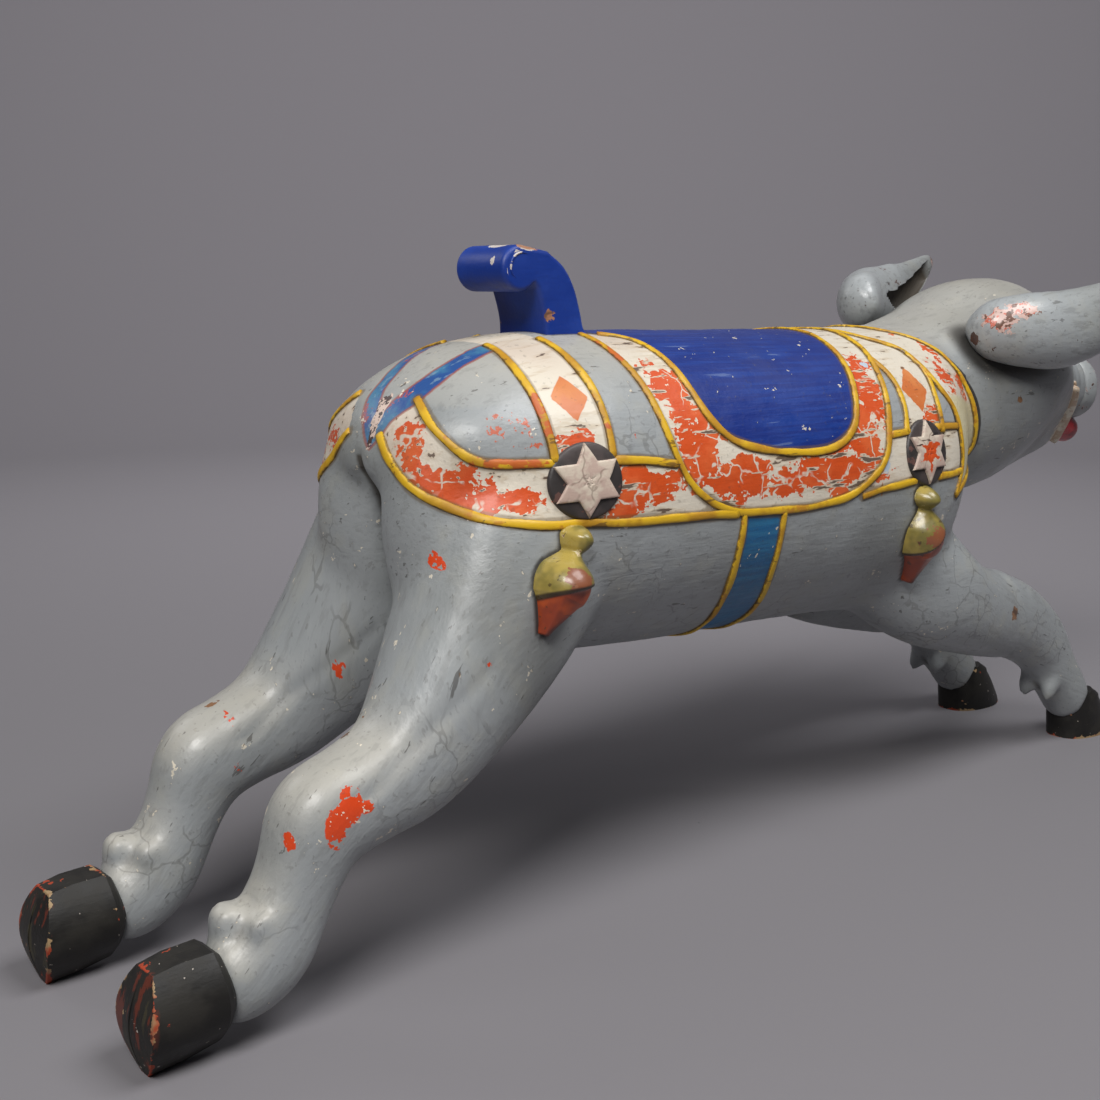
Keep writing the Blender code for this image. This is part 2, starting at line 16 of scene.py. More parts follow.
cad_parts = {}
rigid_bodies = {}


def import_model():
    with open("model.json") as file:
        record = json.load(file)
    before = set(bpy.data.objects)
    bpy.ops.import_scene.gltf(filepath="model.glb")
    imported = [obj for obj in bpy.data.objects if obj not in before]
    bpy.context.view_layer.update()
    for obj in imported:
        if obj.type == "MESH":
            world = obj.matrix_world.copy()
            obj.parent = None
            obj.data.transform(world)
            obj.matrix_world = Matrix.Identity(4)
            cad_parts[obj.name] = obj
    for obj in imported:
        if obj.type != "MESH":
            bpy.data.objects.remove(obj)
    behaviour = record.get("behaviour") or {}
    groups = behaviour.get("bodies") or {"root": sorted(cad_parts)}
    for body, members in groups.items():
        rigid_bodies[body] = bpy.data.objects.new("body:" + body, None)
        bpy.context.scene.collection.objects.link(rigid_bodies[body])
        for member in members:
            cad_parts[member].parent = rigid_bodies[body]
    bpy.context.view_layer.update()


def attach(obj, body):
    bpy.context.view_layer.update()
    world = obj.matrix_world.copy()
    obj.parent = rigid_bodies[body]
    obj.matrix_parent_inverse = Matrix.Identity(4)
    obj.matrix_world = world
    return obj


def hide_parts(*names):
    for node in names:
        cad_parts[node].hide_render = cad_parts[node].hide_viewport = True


bl_info = {
    "name": "Carousel Pig",
    "version": (1, 0, 0),
    "blender": (4, 5, 0),
    "location": "View3D > Sidebar > Carousel Pig",
    "description": "Carving, paint and stage of a carousel pig over its solids",
    "category": "Object",
}

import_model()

DRAWN_MIDDLE = 0.7178
BODY = "root"

# Trunk and snout: x, top, bottom, half width. The head's rows end in the share of the width that the
# jaw has lost.
TRUNK = [
    (0.266, 0.455, 0.440, 0.024),
    (0.284, 0.490, 0.425, 0.074),
    (0.314, 0.520, 0.390, 0.112),
    (0.366, 0.547, 0.320, 0.140),
    (0.440, 0.560, 0.256, 0.159),
    (0.540, 0.561, 0.243, 0.165),
    (0.680, 0.559, 0.238, 0.166),
    (0.820, 0.557, 0.233, 0.166),
    (0.925, 0.557, 0.227, 0.164),
    (0.985, 0.559, 0.246, 0.150),
    (1.030, 0.560, 0.300, 0.122),
    (1.060, 0.558, 0.350, 0.090),
    (1.080, 0.545, 0.400, 0.056),
]
HEAD = [
    (0.985, 0.545, 0.400, 0.080, 0.00),
    (1.040, 0.562, 0.362, 0.113, 0.00),
    (1.110, 0.582, 0.346, 0.120, 0.05),
    (1.180, 0.610, 0.348, 0.128, 0.22),
    (1.240, 0.614, 0.356, 0.121, 0.42),
    (1.295, 0.590, 0.364, 0.099, 0.58),
    (1.340, 0.556, 0.373, 0.074, 0.62),
    (1.375, 0.520, 0.381, 0.052, 0.56),
    (1.400, 0.488, 0.389, 0.032, 0.48),
    (1.414, 0.460, 0.395, 0.015, 0.40),
]
SNOUT = [
    (1.260, 0.575, 0.440, 0.080),
    (1.320, 0.552, 0.436, 0.068),
    (1.370, 0.530, 0.430, 0.055),
    (1.410, 0.516, 0.427, 0.047),
    (1.438, 0.511, 0.425, 0.045),
]

# Legs and buttock: x, y, z, half width, half depth.
HIND_LEG = [
    (0.425, 0.066, 0.452, 0.066, 0.090),
    (0.390, 0.078, 0.375, 0.076, 0.098),
    (0.325, 0.088, 0.285, 0.074, 0.078),
    (0.248, 0.101, 0.206, 0.053, 0.054),
    (0.195, 0.102, 0.183, 0.044, 0.046),
    (0.158, 0.102, 0.168, 0.041, 0.046),
    (0.138, 0.102, 0.132, 0.036, 0.037),
    (0.122, 0.102, 0.100, 0.035, 0.036),
    (0.106, 0.102, 0.074, 0.036, 0.038),
    (0.082, 0.102, 0.056, 0.035, 0.037),
    (0.056, 0.102, 0.052, 0.030, 0.034),
]
BUTTOCK = [
    (0.352, 0.048, 0.482, 0.028, 0.038),
    (0.340, 0.052, 0.452, 0.046, 0.062),
    (0.334, 0.053, 0.400, 0.052, 0.067),
    (0.335, 0.056, 0.340, 0.052, 0.060),
    (0.338, 0.066, 0.285, 0.046, 0.048),
    (0.335, 0.080, 0.245, 0.034, 0.032),
]
FORELEG = [
    (0.935, 0.070, 0.305, 0.060, 0.080),
    (1.000, 0.086, 0.252, 0.064, 0.070),
    (1.070, 0.090, 0.219, 0.055, 0.058),
    (1.140, 0.090, 0.200, 0.045, 0.056),
    (1.208, 0.088, 0.178, 0.038, 0.050),
    (1.264, 0.088, 0.144, 0.033, 0.043),
    (1.300, 0.088, 0.104, 0.030, 0.036),
    (1.330, 0.088, 0.070, 0.030, 0.034),
    (1.350, 0.088, 0.046, 0.029, 0.033),
]

# Knobs and tufts above the hooves: x, y off the leg's middle, z of the root and of the tip, radius.
HIND_CLAWS = [
    ((0.104, 0.008, 0.092), (0.058, 0.008, 0.103), 0.0165),
    ((0.110, -0.017, 0.094), (0.078, -0.020, 0.103), 0.0120),
]
FRONT_CLAWS = [
    ((1.292, 0.014, 0.122), (1.264, 0.017, 0.066), 0.0155),
    ((1.292, -0.014, 0.122), (1.264, -0.017, 0.066), 0.0155),
]
HIND_FOOT_OUT = 0.101
FRONT_FOOT_OUT = 0.088

# Hind hoof: x and z of the keel, x and z of the top, half width. The sole's middle swells out.
HIND_HOOF = [
    (-0.008, 0.006, -0.006, 0.078, 0.0015),
    (-0.005, 0.000, -0.001, 0.085, 0.0330),
    (0.024, 0.003, 0.020, 0.089, 0.0360),
    (0.054, 0.009, 0.049, 0.090, 0.0375),
    (0.060, 0.014, 0.055, 0.086, 0.0330),
    (0.066, 0.030, 0.062, 0.074, 0.0250),
]
HOOF_SWELL = 0.009

# Front hoof: x of the heel, x of the toe, height, half width.
FRONT_HOOF = [
    (1.328, 1.438, 0.000, 0.034),
    (1.327, 1.432, 0.012, 0.034),
    (1.324, 1.408, 0.046, 0.031),
    (1.338, 1.382, 0.062, 0.026),
]

# Ear: x, y, z, half width, outer bulge, inner bulge. EAR_SHIFT moves an ear's root, +1 the left one's.
EAR = [
    (1.070, 0.085, 0.556, 0.026, 0.022, 0.016),
    (1.090, 0.114, 0.554, 0.037, 0.032, 0.024),
    (1.125, 0.136, 0.553, 0.044, 0.034, 0.028),
    (1.175, 0.150, 0.554, 0.046, 0.031, 0.024),
    (1.240, 0.164, 0.570, 0.040, 0.026, 0.016),
    (1.310, 0.180, 0.601, 0.026, 0.018, 0.010),
    (1.360, 0.188, 0.629, 0.013, 0.010, 0.006),
    (1.384, 0.191, 0.642, 0.004, 0.004, 0.003),
]
EAR_WALL = 0.006
EAR_DOME = 0.030
# The hollow of an ear: x of its rear edge in the middle, how that leans downwards, its top edge there
# as a share of the half width, and how that rises for each metre ahead.
EAR_HOLLOW = (1.148, 0.120, 0.28, 1.30)
EAR_SHIFT = {1: (0.012, -0.022, 0.032), -1: (0.000, 0.000, 0.000)}

# Cantle: the front of its profile from the toe up, its back from the roll down, and the roll.
CANTLE_FRONT = [
    (0.518, 0.556), (0.508, 0.563), (0.503, 0.580),
    (0.495, 0.603), (0.482, 0.622), (0.462, 0.636),
]
CANTLE_BACK = [(0.449, 0.602), (0.454, 0.588), (0.458, 0.572), (0.459, 0.556)]
CANTLE_ROLL = (0.428, 0.620, 0.0215)
CANTLE_SEAT = 0.541
CANTLE_WIDTH = 0.074

# Tassel: share of its length from the top, half width, how proud it stands.
TASSEL = [
    (0.00, 0.003, 0.009),
    (0.04, 0.010, 0.018),
    (0.12, 0.0145, 0.025),
    (0.20, 0.012, 0.021),
    (0.25, 0.009, 0.017),
    (0.31, 0.014, 0.021),
    (0.42, 0.0245, 0.034),
    (0.54, 0.0275, 0.040),
    (0.66, 0.0255, 0.038),
    (0.72, 0.021, 0.032),
    (0.90, 0.010, 0.018),
    (1.00, 0.005, 0.011),
]
TASSEL_LENGTH = {"rear": 0.102, "front": 0.120}
TASSEL_INSET = 0.006
# The power that gathers each kind upwards, the share of its table where the fringe begins, and where
# it hangs: x and z of its top and of its foot.
TASSEL_GATHER = {"rear": 1.0, "front": 1.2}
TASSEL_SEAM = {"rear": 0.585, "front": 0.53}
TASSEL_PLACES = {"rear": (0.396, 0.396, 0.346, 0.303), "front": (0.882, 0.391, 0.905, 0.292)}

# The harness is laid out in wrap places: how far along, and the angle down from the top of the back
# about an axis at HARNESS_AXIS. Behind RUMP_CENTRE the rays fan out, one radian a RUMP_REACH.
HARNESS_AXIS = 0.395
RUMP_CENTRE = 0.40
RUMP_REACH = 0.14
FLANK_RADIUS = 0.165
PIPING = {
    "rump_upper": [
        (0.304, 22), (0.299, 36), (0.301, 48), (0.312, 59),
        (0.335, 65), (0.380, 68), (0.440, 70), (0.512, 73),
    ],
    "rump_lower": [
        (0.262, 17), (0.253, 36), (0.257, 57), (0.273, 72),
        (0.298, 81), (0.338, 86.5), (0.400, 89), (0.590, 92),
    ],
    "rear_strap_back": [(0.391, 12), (0.384, 29), (0.381, 46), (0.381, 68)],
    "rear_strap_front": [(0.441, 16), (0.440, 30), (0.440, 50), (0.438, 70)],
    "saddle_outer": [
        (0.498, 14), (0.498, 35), (0.504, 54), (0.513, 71), (0.536, 83),
        (0.585, 91), (0.650, 93), (0.720, 93), (0.778, 89), (0.818, 80),
        (0.836, 66), (0.852, 50), (0.868, 34), (0.880, 16), (0.884, -1),
    ],
    "saddle_inner": [
        (0.520, 14), (0.545, 20), (0.554, 32), (0.557, 48), (0.566, 60),
        (0.586, 67), (0.625, 71.5), (0.680, 74), (0.735, 73.5), (0.772, 68),
        (0.792, 57), (0.810, 43), (0.826, 24), (0.836, 8), (0.837, -1),
    ],
    "front_strap_back": [(0.864, 38), (0.873, 50), (0.870, 61), (0.862, 71)],
    "front_strap_front": [
        (0.882, 8), (0.902, 23), (0.933, 33), (0.942, 45), (0.936, 58), (0.928, 72),
    ],
    "breast_post": [
        (0.936, 36), (0.948, 51), (0.968, 63), (0.974, 76), (0.974, 88), (0.958, 98),
    ],
    "breast_upper": [(0.834, 71), (0.900, 70), (0.966, 70)],
    "breast_lower": [(0.780, 92), (0.835, 90), (0.900, 89), (0.974, 88)],
    "collar": [
        (0.950, -1), (0.960, 14), (0.990, 26), (1.020, 39),
        (1.046, 54), (1.060, 70), (1.052, 84), (0.958, 98),
    ],
    "girth_back": [(0.600, 92), (0.600, 115), (0.612, 138), (0.625, 160), (0.628, 181)],
    "girth_front": [(0.657, 93), (0.658, 114), (0.670, 135), (0.684, 160), (0.688, 181)],
}
# An angle past the top of the back, so that an outline runs over it.
PAST_TOP = -8
# Crupper: a V on the rump, its angles more than nought on the near side and less on the far side.
CRUPPER = [
    (0.391, 18), (0.364, 20.5), (0.327, 23.5), (0.302, 25), (0.288, 22), (0.277, 19.5),
    (0.265, 19), (0.255, 17), (0.248, 14.5), (0.251, 8), (0.259, 0.5), (0.274, -8),
    (0.292, -11.5), (0.312, -12), (0.350, -16), (0.391, -17), (0.391, -11), (0.350, -9),
    (0.319, -5), (0.302, -3), (0.289, 1), (0.276, 5), (0.262, 9.5), (0.276, 8.5),
    (0.289, 9), (0.304, 11.5), (0.325, 13), (0.350, 13), (0.390, 10.5),
]
LOZENGES = [
    [(0.416, 39), (0.431, 49), (0.409, 57), (0.394, 47)],
    [(0.906, 44), (0.925, 55), (0.900, 64), (0.879, 54)],
]
ROSETTES = {"rear": (0.408, 75.5), "front": (0.892, 79)}
# Round plate and star of a rosette: share of the edge, height over the body.
PLATE_ROWS = [
    (0.01, 0.0034), (0.4, 0.0034), (0.8, 0.0034), (0.93, 0.0032),
    (0.98, 0.0024), (1.0, 0.0008), (1.0, -0.003),
]
STAR_ROWS = [
    (0.01, 0.0060), (0.10, 0.0060), (0.13, 0.0055), (0.16, 0.0059), (0.3, 0.0060), (0.45, 0.0061),
    (0.6, 0.0061), (0.75, 0.0060), (0.88, 0.0060), (0.97, 0.0058), (1.0, 0.0052), (1.01, 0.0020),
]
STAR_INNER = 0.56
STAR_OUTER = 0.965

# Where the orange coat is left on the cream: wrap place, reach along, reach down in degrees, strength.
ORANGE_PLACES = [
    (0.535, 50, 0.020, 14, 0.85), (0.548, 68, 0.024, 12, 1.00), (0.600, 80, 0.040, 8, 0.95),
    (0.670, 84, 0.050, 7, 0.80), (0.740, 82, 0.040, 8, 0.95), (0.795, 72, 0.026, 12, 1.00),
    (0.820, 55, 0.018, 14, 1.00), (0.838, 40, 0.016, 8, 0.60), (0.530, 38, 0.016, 8, 0.35),
    (0.274, 50, 0.016, 22, 0.80), (0.290, 70, 0.022, 10, 0.85), (0.335, 77, 0.026, 7, 0.75),
    (0.372, 78, 0.016, 6, 0.45), (0.462, 80, 0.036, 8, 0.85), (0.520, 80, 0.016, 8, 0.30),
    (0.404, 64, 0.018, 5, 0.70), (0.920, 66, 0.012, 5, 0.80), (0.905, 66, 0.010, 4, 0.40),
    (0.985, 48, 0.022, 8, 0.75), (1.024, 50, 0.016, 9, 0.80), (0.995, 32, 0.016, 8, 0.55),
    (0.972, 20, 0.012, 6, 0.40), (0.848, 78, 0.012, 6, 0.40),
]

# Worn places, each its middle and its three reaches: chips down to the orange coat, bare wood, pale and
# rubbed places, the scar of the tail, and those of the ears, the cantle and the saddle.
CHIPS = [
    (0.160, -0.141, 0.192, 0.015, 0.03, 0.020), (0.150, -0.141, 0.172, 0.011, 0.03, 0.018),
    (0.178, -0.135, 0.186, 0.007, 0.03, 0.006), (0.116, -0.125, 0.165, 0.0032, 0.02, 0.010),
    (0.265, 0.037, 0.250, 0.008, 0.02, 0.012), (0.169, 0.061, 0.167, 0.007, 0.02, 0.008),
    (0.170, 0.073, 0.212, 0.005, 0.02, 0.008), (0.140, 0.075, 0.150, 0.003, 0.02, 0.004),
    (0.282, -0.094, 0.371, 0.004, 0.03, 0.009), (0.295, -0.157, 0.288, 0.004, 0.02, 0.004),
    (0.470, -0.150, 0.470, 0.004, 0.03, 0.004), (0.330, -0.130, 0.405, 0.007, 0.03, 0.003),
    (1.055, -0.135, 0.300, 0.004, 0.02, 0.012),
]
BARE_PLACES = [
    (0.197, -0.082, 0.228, 0.008, 0.012, 0.006), (0.214, -0.090, 0.240, 0.004, 0.010, 0.004),
    (0.166, 0.100, 0.222, 0.010, 0.006, 0.008),
    (1.129, -0.136, 0.209, 0.012, 0.020, 0.011), (0.812, -0.155, 0.392, 0.005, 0.03, 0.010),
    (0.905, -0.105, 0.515, 0.014, 0.03, 0.004), (1.135, -0.120, 0.470, 0.006, 0.03, 0.006),
]
PALE_PLACES = [
    (0.822, -0.152, 0.420, 0.010, 0.03, 0.016), (0.828, -0.150, 0.446, 0.006, 0.03, 0.012),
    (0.845, -0.100, 0.520, 0.010, 0.03, 0.006),
]
RUBBED = [
    (0.345, -0.120, 0.483, 0.020, 0.03, 0.018), (0.362, -0.130, 0.464, 0.010, 0.03, 0.010),
    (0.930, -0.105, 0.275, 0.006, 0.03, 0.016), (1.150, -0.110, 0.520, 0.006, 0.03, 0.008),
]
TAIL_SCAR = [
    (0.292, -0.008, 0.501, 0.014, 0.009, 0.012), (0.283, -0.011, 0.487, 0.012, 0.007, 0.014),
    (0.275, -0.014, 0.472, 0.012, 0.005, 0.016),
]
EAR_CHIPS = [
    (1.066, -0.134, 0.566, 0.020, 0.034, 0.022), (1.090, -0.150, 0.578, 0.024, 0.034, 0.013),
    (1.372, 0.190, 0.640, 0.014, 0.03, 0.010),
]
EAR_BARE = [(1.061, -0.104, 0.543, 0.009, 0.009, 0.011)]
CANTLE_CHIPS = [
    (0.408, -0.019, 0.627, 0.005, 0.005, 0.007), (0.418, -0.037, 0.617, 0.008, 0.006, 0.006),
    (0.423, -0.037, 0.628, 0.004, 0.006, 0.009), (0.440, -0.036, 0.639, 0.014, 0.006, 0.004),
    (0.426, -0.008, 0.641, 0.010, 0.018, 0.004), (0.500, -0.037, 0.600, 0.004, 0.006, 0.010),
]
CANTLE_BARE = [
    (0.438, -0.034, 0.641, 0.016, 0.012, 0.005), (0.456, -0.030, 0.639, 0.016, 0.014, 0.005),
    (0.470, -0.034, 0.634, 0.010, 0.010, 0.005), (0.462, -0.036, 0.576, 0.008, 0.008, 0.013),
]
SADDLE_CHIPS = [
    (0.796, -0.130, 0.480, 0.010, 0.03, 0.004), (0.800, -0.134, 0.472, 0.004, 0.03, 0.010),
    (0.778, -0.148, 0.430, 0.008, 0.03, 0.007), (0.560, -0.100, 0.520, 0.006, 0.03, 0.003),
]

# Mouth, x and z in the middle plane: the corner, the upper lip, the chin; and the hollow behind it.
MOUTH_CORNER = (1.350, 0.480)
UPPER_LIP = (1.396, 0.430)
CHIN = (1.413, 0.388)
GAPE_AHEAD = 0.10
GAPE_BELOW = 0.03
LIP_WEAR = 0.022
MOUTH_HOLLOW = ((1.384, 0.000, 0.426), (0.022, 0.024, 0.022))
# Lips: where each ends, how far it lies off the mouth's edge, half width, height.
LIPS = ((UPPER_LIP, 0.0012, 0.0030, 0.0045), (CHIN, -0.0055, 0.0085, 0.0088))
# Tongue: x, z, radius; its last rows round its end off.
TONGUE = [
    (1.378, 0.434, 0.014), (1.402, 0.427, 0.0150), (1.425, 0.419, 0.0155),
    (1.440, 0.413, 0.0152), (1.4485, 0.4095, 0.0135), (1.4520, 0.408, 0.0095),
]
EYE = (1.292, 0.097, 0.528)
EYE_WIDE = 0.016
EYE_HIGH = 0.013
# Snout disc: x, z of its middle, half height, half width; and y and z of a nostril.
NOSTRIL = (0.018, 0.469)
SNOUT_DISC = [
    (1.412, 0.468, 0.036, 0.038),
    (1.424, 0.468, 0.0440, 0.0465),
    (1.437, 0.468, 0.0455, 0.0482),
    (1.446, 0.467, 0.0446, 0.0475),
    (1.451, 0.467, 0.0415, 0.0445),
    (1.452, 0.467, 0.038, 0.041),
]

# Lamps: name, place, what it is aimed at, width and height, power, colour.
LAMPS = [
    ("key", (-2.3, -1.5, 2.7), (0, 0, 0.3), (1.5, 1.1), 88.0, (1.0, 0.985, 0.96)),
    ("top", (0.4, -1.4, 3.0), (0, 0, 0.3), (1.9, 1.3), 69.0, (1.0, 1.0, 1.0)),
    ("back", (-1.4, 2.5, 2.2), (0, 0, 0.3), (1.4, 1.0), 9.0, (1.0, 1.0, 1.0)),
    ("wall", (1.0, 1.4, 3.8), (4.0, 4.9, 1.6), (2.4, 1.6), 190.0, (1.0, 0.98, 1.0)),
]
SKY_COLOUR = (0.90, 0.94, 1.0)
SKY_LIGHT = 0.10
CAMERA_PLACE = (-1.1635, -1.1051, 0.600)
CAMERA_AHEAD = (0.638, 0.750, -0.1747)
CAMERA_LENS = 47.95

SIDES = (("left", 1), ("right", -1))
# What one step hands to the next: the body's surface as a tree, in drawn places.
STORE = {}


def coat_colour(name, description, default):
    """A colour that the user may change."""
    return bpy.props.FloatVectorProperty(
        name=name, description=description, default=default, subtype="COLOR", size=3, min=0, max=1)


class CarvingSizes(bpy.types.PropertyGroup):
    body_grain: bpy.props.FloatProperty(
        name="Body Grain", description="Size of the carved surface's squares",
        default=0.0048, min=0.003, max=0.02, unit="LENGTH", precision=4)
    softening: bpy.props.IntProperty(
        name="Softening", description="How often the carved surface is evened out",
        default=19, min=0, max=80)
    tool_marks: bpy.props.FloatProperty(
        name="Tool Marks", description="Height of the shallow unevenness that the carver left",
        default=0.0006, min=0.0, max=0.004, unit="LENGTH", precision=4)
    piping_width: bpy.props.FloatProperty(
        name="Piping Width", description="Width of the raised yellow lines",
        default=0.0084, min=0.004, max=0.02, unit="LENGTH", precision=4)
    piping_height: bpy.props.FloatProperty(
        name="Piping Height", description="How far the yellow lines stand up",
        default=0.0026, min=0.001, max=0.008, unit="LENGTH", precision=4)
    rosette_radius: bpy.props.FloatProperty(
        name="Rosette Radius", description="Radius of the two round plates on each side",
        default=0.036, min=0.02, max=0.05, unit="LENGTH", precision=4)


class PaintColours(bpy.types.PropertyGroup):
    grey: coat_colour("Grey", "Blue-grey coat of the body", (0.305, 0.322, 0.330))
    cream: coat_colour("Cream", "Cream coat of the straps and bands", (0.66, 0.60, 0.50))
    orange: coat_colour("Orange", "Orange-red coat", (0.60, 0.074, 0.009))
    yellow: coat_colour("Yellow", "Yellow of the raised lines", (0.66, 0.40, 0.014))
    blue: coat_colour("Blue", "Ultramarine of the saddle and cantle", (0.004, 0.032, 0.250))
    teal: coat_colour("Teal", "Teal of the girth", (0.006, 0.110, 0.270))
    gold: coat_colour("Gold", "Olive gold of the tassels", (0.40, 0.30, 0.070))
    black: coat_colour("Black", "Brown-black of the hooves and rosettes", (0.014, 0.013, 0.012))
    wood: coat_colour("Wood", "Bare wood under the paint", (0.26, 0.13, 0.060))


class StageSettings(bpy.types.PropertyGroup):
    floor: coat_colour("Floor", "Colour of the plain floor", (0.200, 0.191, 0.205))
    light: bpy.props.FloatProperty(
        name="Light", description="Strength of all the studio lights together",
        default=1.0, min=0.1, max=4.0, subtype="FACTOR")


def circle(count):
    """Even angles all round."""
    return 2 * np.pi * np.arange(count) / count


def unit(vectors):
    """Vectors made one metre long."""
    return vectors / np.linalg.norm(vectors, axis=-1, keepdims=True)


def ramp(value, start, end):
    """0 up to the start, 1 from the end on and straight between them; the end may lie below the start."""
    return np.clip((value - start) / (end - start), 0, 1)


def bump(distance, reach):
    """A soft mound: e to the minus square of distance over reach."""
    return np.exp(-(distance / reach) ** 2)


def run_length(points):
    """How far along a path each of its points lies: the sum of the straight stretches before it."""
    return np.concatenate([[0], np.cumsum(np.linalg.norm(np.diff(points, axis=0), axis=1))])


def through(knots, steps):
    """Catmull-Rom curve through the rows of a table: cubic in t between each two rows, as one array."""
    k = np.array(knots, float)
    k = np.vstack([2 * k[0] - k[1], k, 2 * k[-1] - k[-2]])
    t = (np.arange(steps) / steps)[None, :, None]
    a, b, c, d = (k[i:len(k) - 3 + i, None, :] for i in range(4))
    slope, bend, twist = c - a, 2 * a - 5 * b + 4 * c - d, 3 * b - a - 3 * c + d
    rows = b + 0.5 * (slope * t + bend * t**2 + twist * t**3)
    return np.vstack([rows.reshape(-1, k.shape[1]), k[-2]])


def spaced(points, step):
    """The same path with its points even: each coordinate read at equal steps of the run length."""
    run = run_length(points)
    even = np.linspace(0, run[-1], max(3, int(round(run[-1] / step)) + 1))
    return np.column_stack([np.interp(even, run, points[:, i]) for i in range(points.shape[1])])


def oval(around, power):
    """Cosine and sine of a superellipse: each raised to 2 / power, its sign kept."""
    c, s = np.cos(circle(around)), np.sin(circle(around))
    return np.sign(c) * np.abs(c) ** (2 / power), np.sign(s) * np.abs(s) ** (2 / power)


def tube(rings):
    """Points and faces of a grid of rings (ring, place round it, xyz), closed by a flat face at each end."""
    rows, around = rings.shape[:2]
    i, j = np.meshgrid(np.arange(rows - 1), np.arange(around), indexing="ij")
    k = (j + 1) % around
    quads = np.stack([i * around + j, i * around + k, (i + 1) * around + k, (i + 1) * around + j], axis=-1)
    ends = [list(range(around))[::-1], [(rows - 1) * around + n for n in range(around)]]
    return rings.reshape(-1, 3), quads.reshape(-1, 4).tolist() + ends


def upright_loft(table, around=80, steps=8, power=2.2):
    """Superellipse sections that stand upright along x, from rows of x, top, bottom, half width."""
    c, s = oval(around, power)
    x, top, bottom, half, *lost = through(table, steps).T[:, :, None]
    half = half * (1 - sum(lost) * np.maximum(-s, 0))
    return tube(np.stack([x + 0 * c, c * half, (top + bottom) / 2 + s * (top - bottom) / 2], axis=-1))


def limb_loft(table, side, around=48, steps=8, power=2.3):
    """Superellipse sections across a limb, from rows of x, y, z, half width, half depth."""
    c, s = oval(around, power)
    rows = through(table, steps)
    dx, dz = unit(np.gradient(rows[:, [0, 2]], axis=0)).T[:, :, None]
    x, y, z, half, deep = rows.T[:, :, None]
    return tube(np.stack([x - dz * s * deep, side * y + c * half, z + dx * s * deep], axis=-1))


def claw_loft(root, tip, radius, y, flat=1.0, around=32, power=2.0, blunt=4):
    """A blunt horn: superellipses whose radius falls as the root of 1 - t^blunt from root to tip."""
    root, tip = np.array(root) + (0, y, 0), np.array(tip) + (0, y, 0)
    t = np.linspace(0, 0.995, 12)[:, None, None]
    upward = np.cross(unit(tip - root), (0, 1, 0))
    c, s = oval(around, power)
    ring = np.outer(c, (0, 1, 0)) * flat + np.outer(s, upward)
    size = radius * np.sqrt(1 - t**blunt)
    return tube(root + (tip - root) * t + ring[None] * size)


def merged(shells):
    """The points and faces of several shells as one list, each shell's numbers moved on."""
    points, faces, start = [], [], 0
    for p, f in shells:
        points.append(p)
        faces += [[n + start for n in face] for face in f]
        start += len(p)
    return np.vstack(points), faces


def new_object(name, points, faces):
    """A mesh object in the scene."""
    mesh = bpy.data.meshes.new(name)
    mesh.from_pydata(np.asarray(points, float).tolist(), [], faces)
    mesh.update()
    obj = bpy.data.objects.new(name, mesh)
    bpy.context.scene.collection.objects.link(obj)
    return obj


def outward(obj):
    """Turn the faces of a closed mesh outwards."""
    mesh = bmesh.new()
    mesh.from_mesh(obj.data)
    bmesh.ops.recalc_face_normals(mesh, faces=mesh.faces)
    mesh.to_mesh(obj.data)
    mesh.free()


def finished(name, points, faces, slot, material, nodes, sharp=None, marks=None):
    """A piece of the pig: its mesh in its place, smooth, with its marks, material and body; its slot is not
    used.
    """
    obj = new_object(name, points - np.array((DRAWN_MIDDLE, 0, 0)), faces)
    outward(obj)
    obj.data.shade_smooth()
    if sharp:
        obj.data.set_sharp_from_angle(angle=math.radians(sharp))
    for word, values in (marks or {}).items():
        mark(obj.data, word, values)
    obj.data.materials.append(material)
    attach(obj, BODY)
    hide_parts(*nodes)


def baked(obj):
    """The object's mesh with its modifiers worked in."""
    seen = obj.evaluated_get(bpy.context.evaluated_depsgraph_get())
    data = bpy.data.meshes.new_from_object(seen)
    obj.modifiers.clear()
    obj.data = data
    return data


def read_points(mesh):
    """The mesh's points as rows of x, y, z."""
    flat = np.empty(len(mesh.vertices) * 3)
    mesh.vertices.foreach_get("co", flat)
    return flat.reshape(-1, 3)


def read_normals(mesh):
    """The outward direction at each point."""
    flat = np.empty(len(mesh.vertices) * 3, np.float32)
    mesh.vertex_normals.foreach_get("vector", flat)
    return flat.reshape(-1, 3).astype(float)


def read_edges(mesh):
    """The two points of each edge."""
    flat = np.empty(len(mesh.edges) * 2, np.int32)
    mesh.edges.foreach_get("vertices", flat)
    return flat.reshape(-1, 2)


def moved(mesh, points):
    """The mesh with its points put in new places."""
    mesh.vertices.foreach_set("co", points.ravel())
    mesh.update()


def mark(mesh, name, values):
    """A value for each point, that the paint reads."""
    values = np.asarray(values, np.float32)
    kind, word = ("FLOAT_VECTOR", "vector") if values.ndim == 2 else ("FLOAT", "value")
    mesh.attributes.new(name, kind, "POINT").data.foreach_set(word, values.ravel())


def evened(values, edges, times, share=0.5):
    """Each point moved a share of the way to the mean of its neighbours, so many times."""
    a, b = edges.T
    count = len(values)
    near = np.bincount(a, minlength=count) + np.bincount(b, minlength=count)
    near = np.maximum(near, 1)[:, None]
    values = values.reshape(count, -1).astype(float)
    for _ in range(times):
        total = np.column_stack([
            np.bincount(a, values[b, n], count) + np.bincount(b, values[a, n], count)
            for n in range(values.shape[1])
        ])
        values = values + share * (total / near - values)
    return values


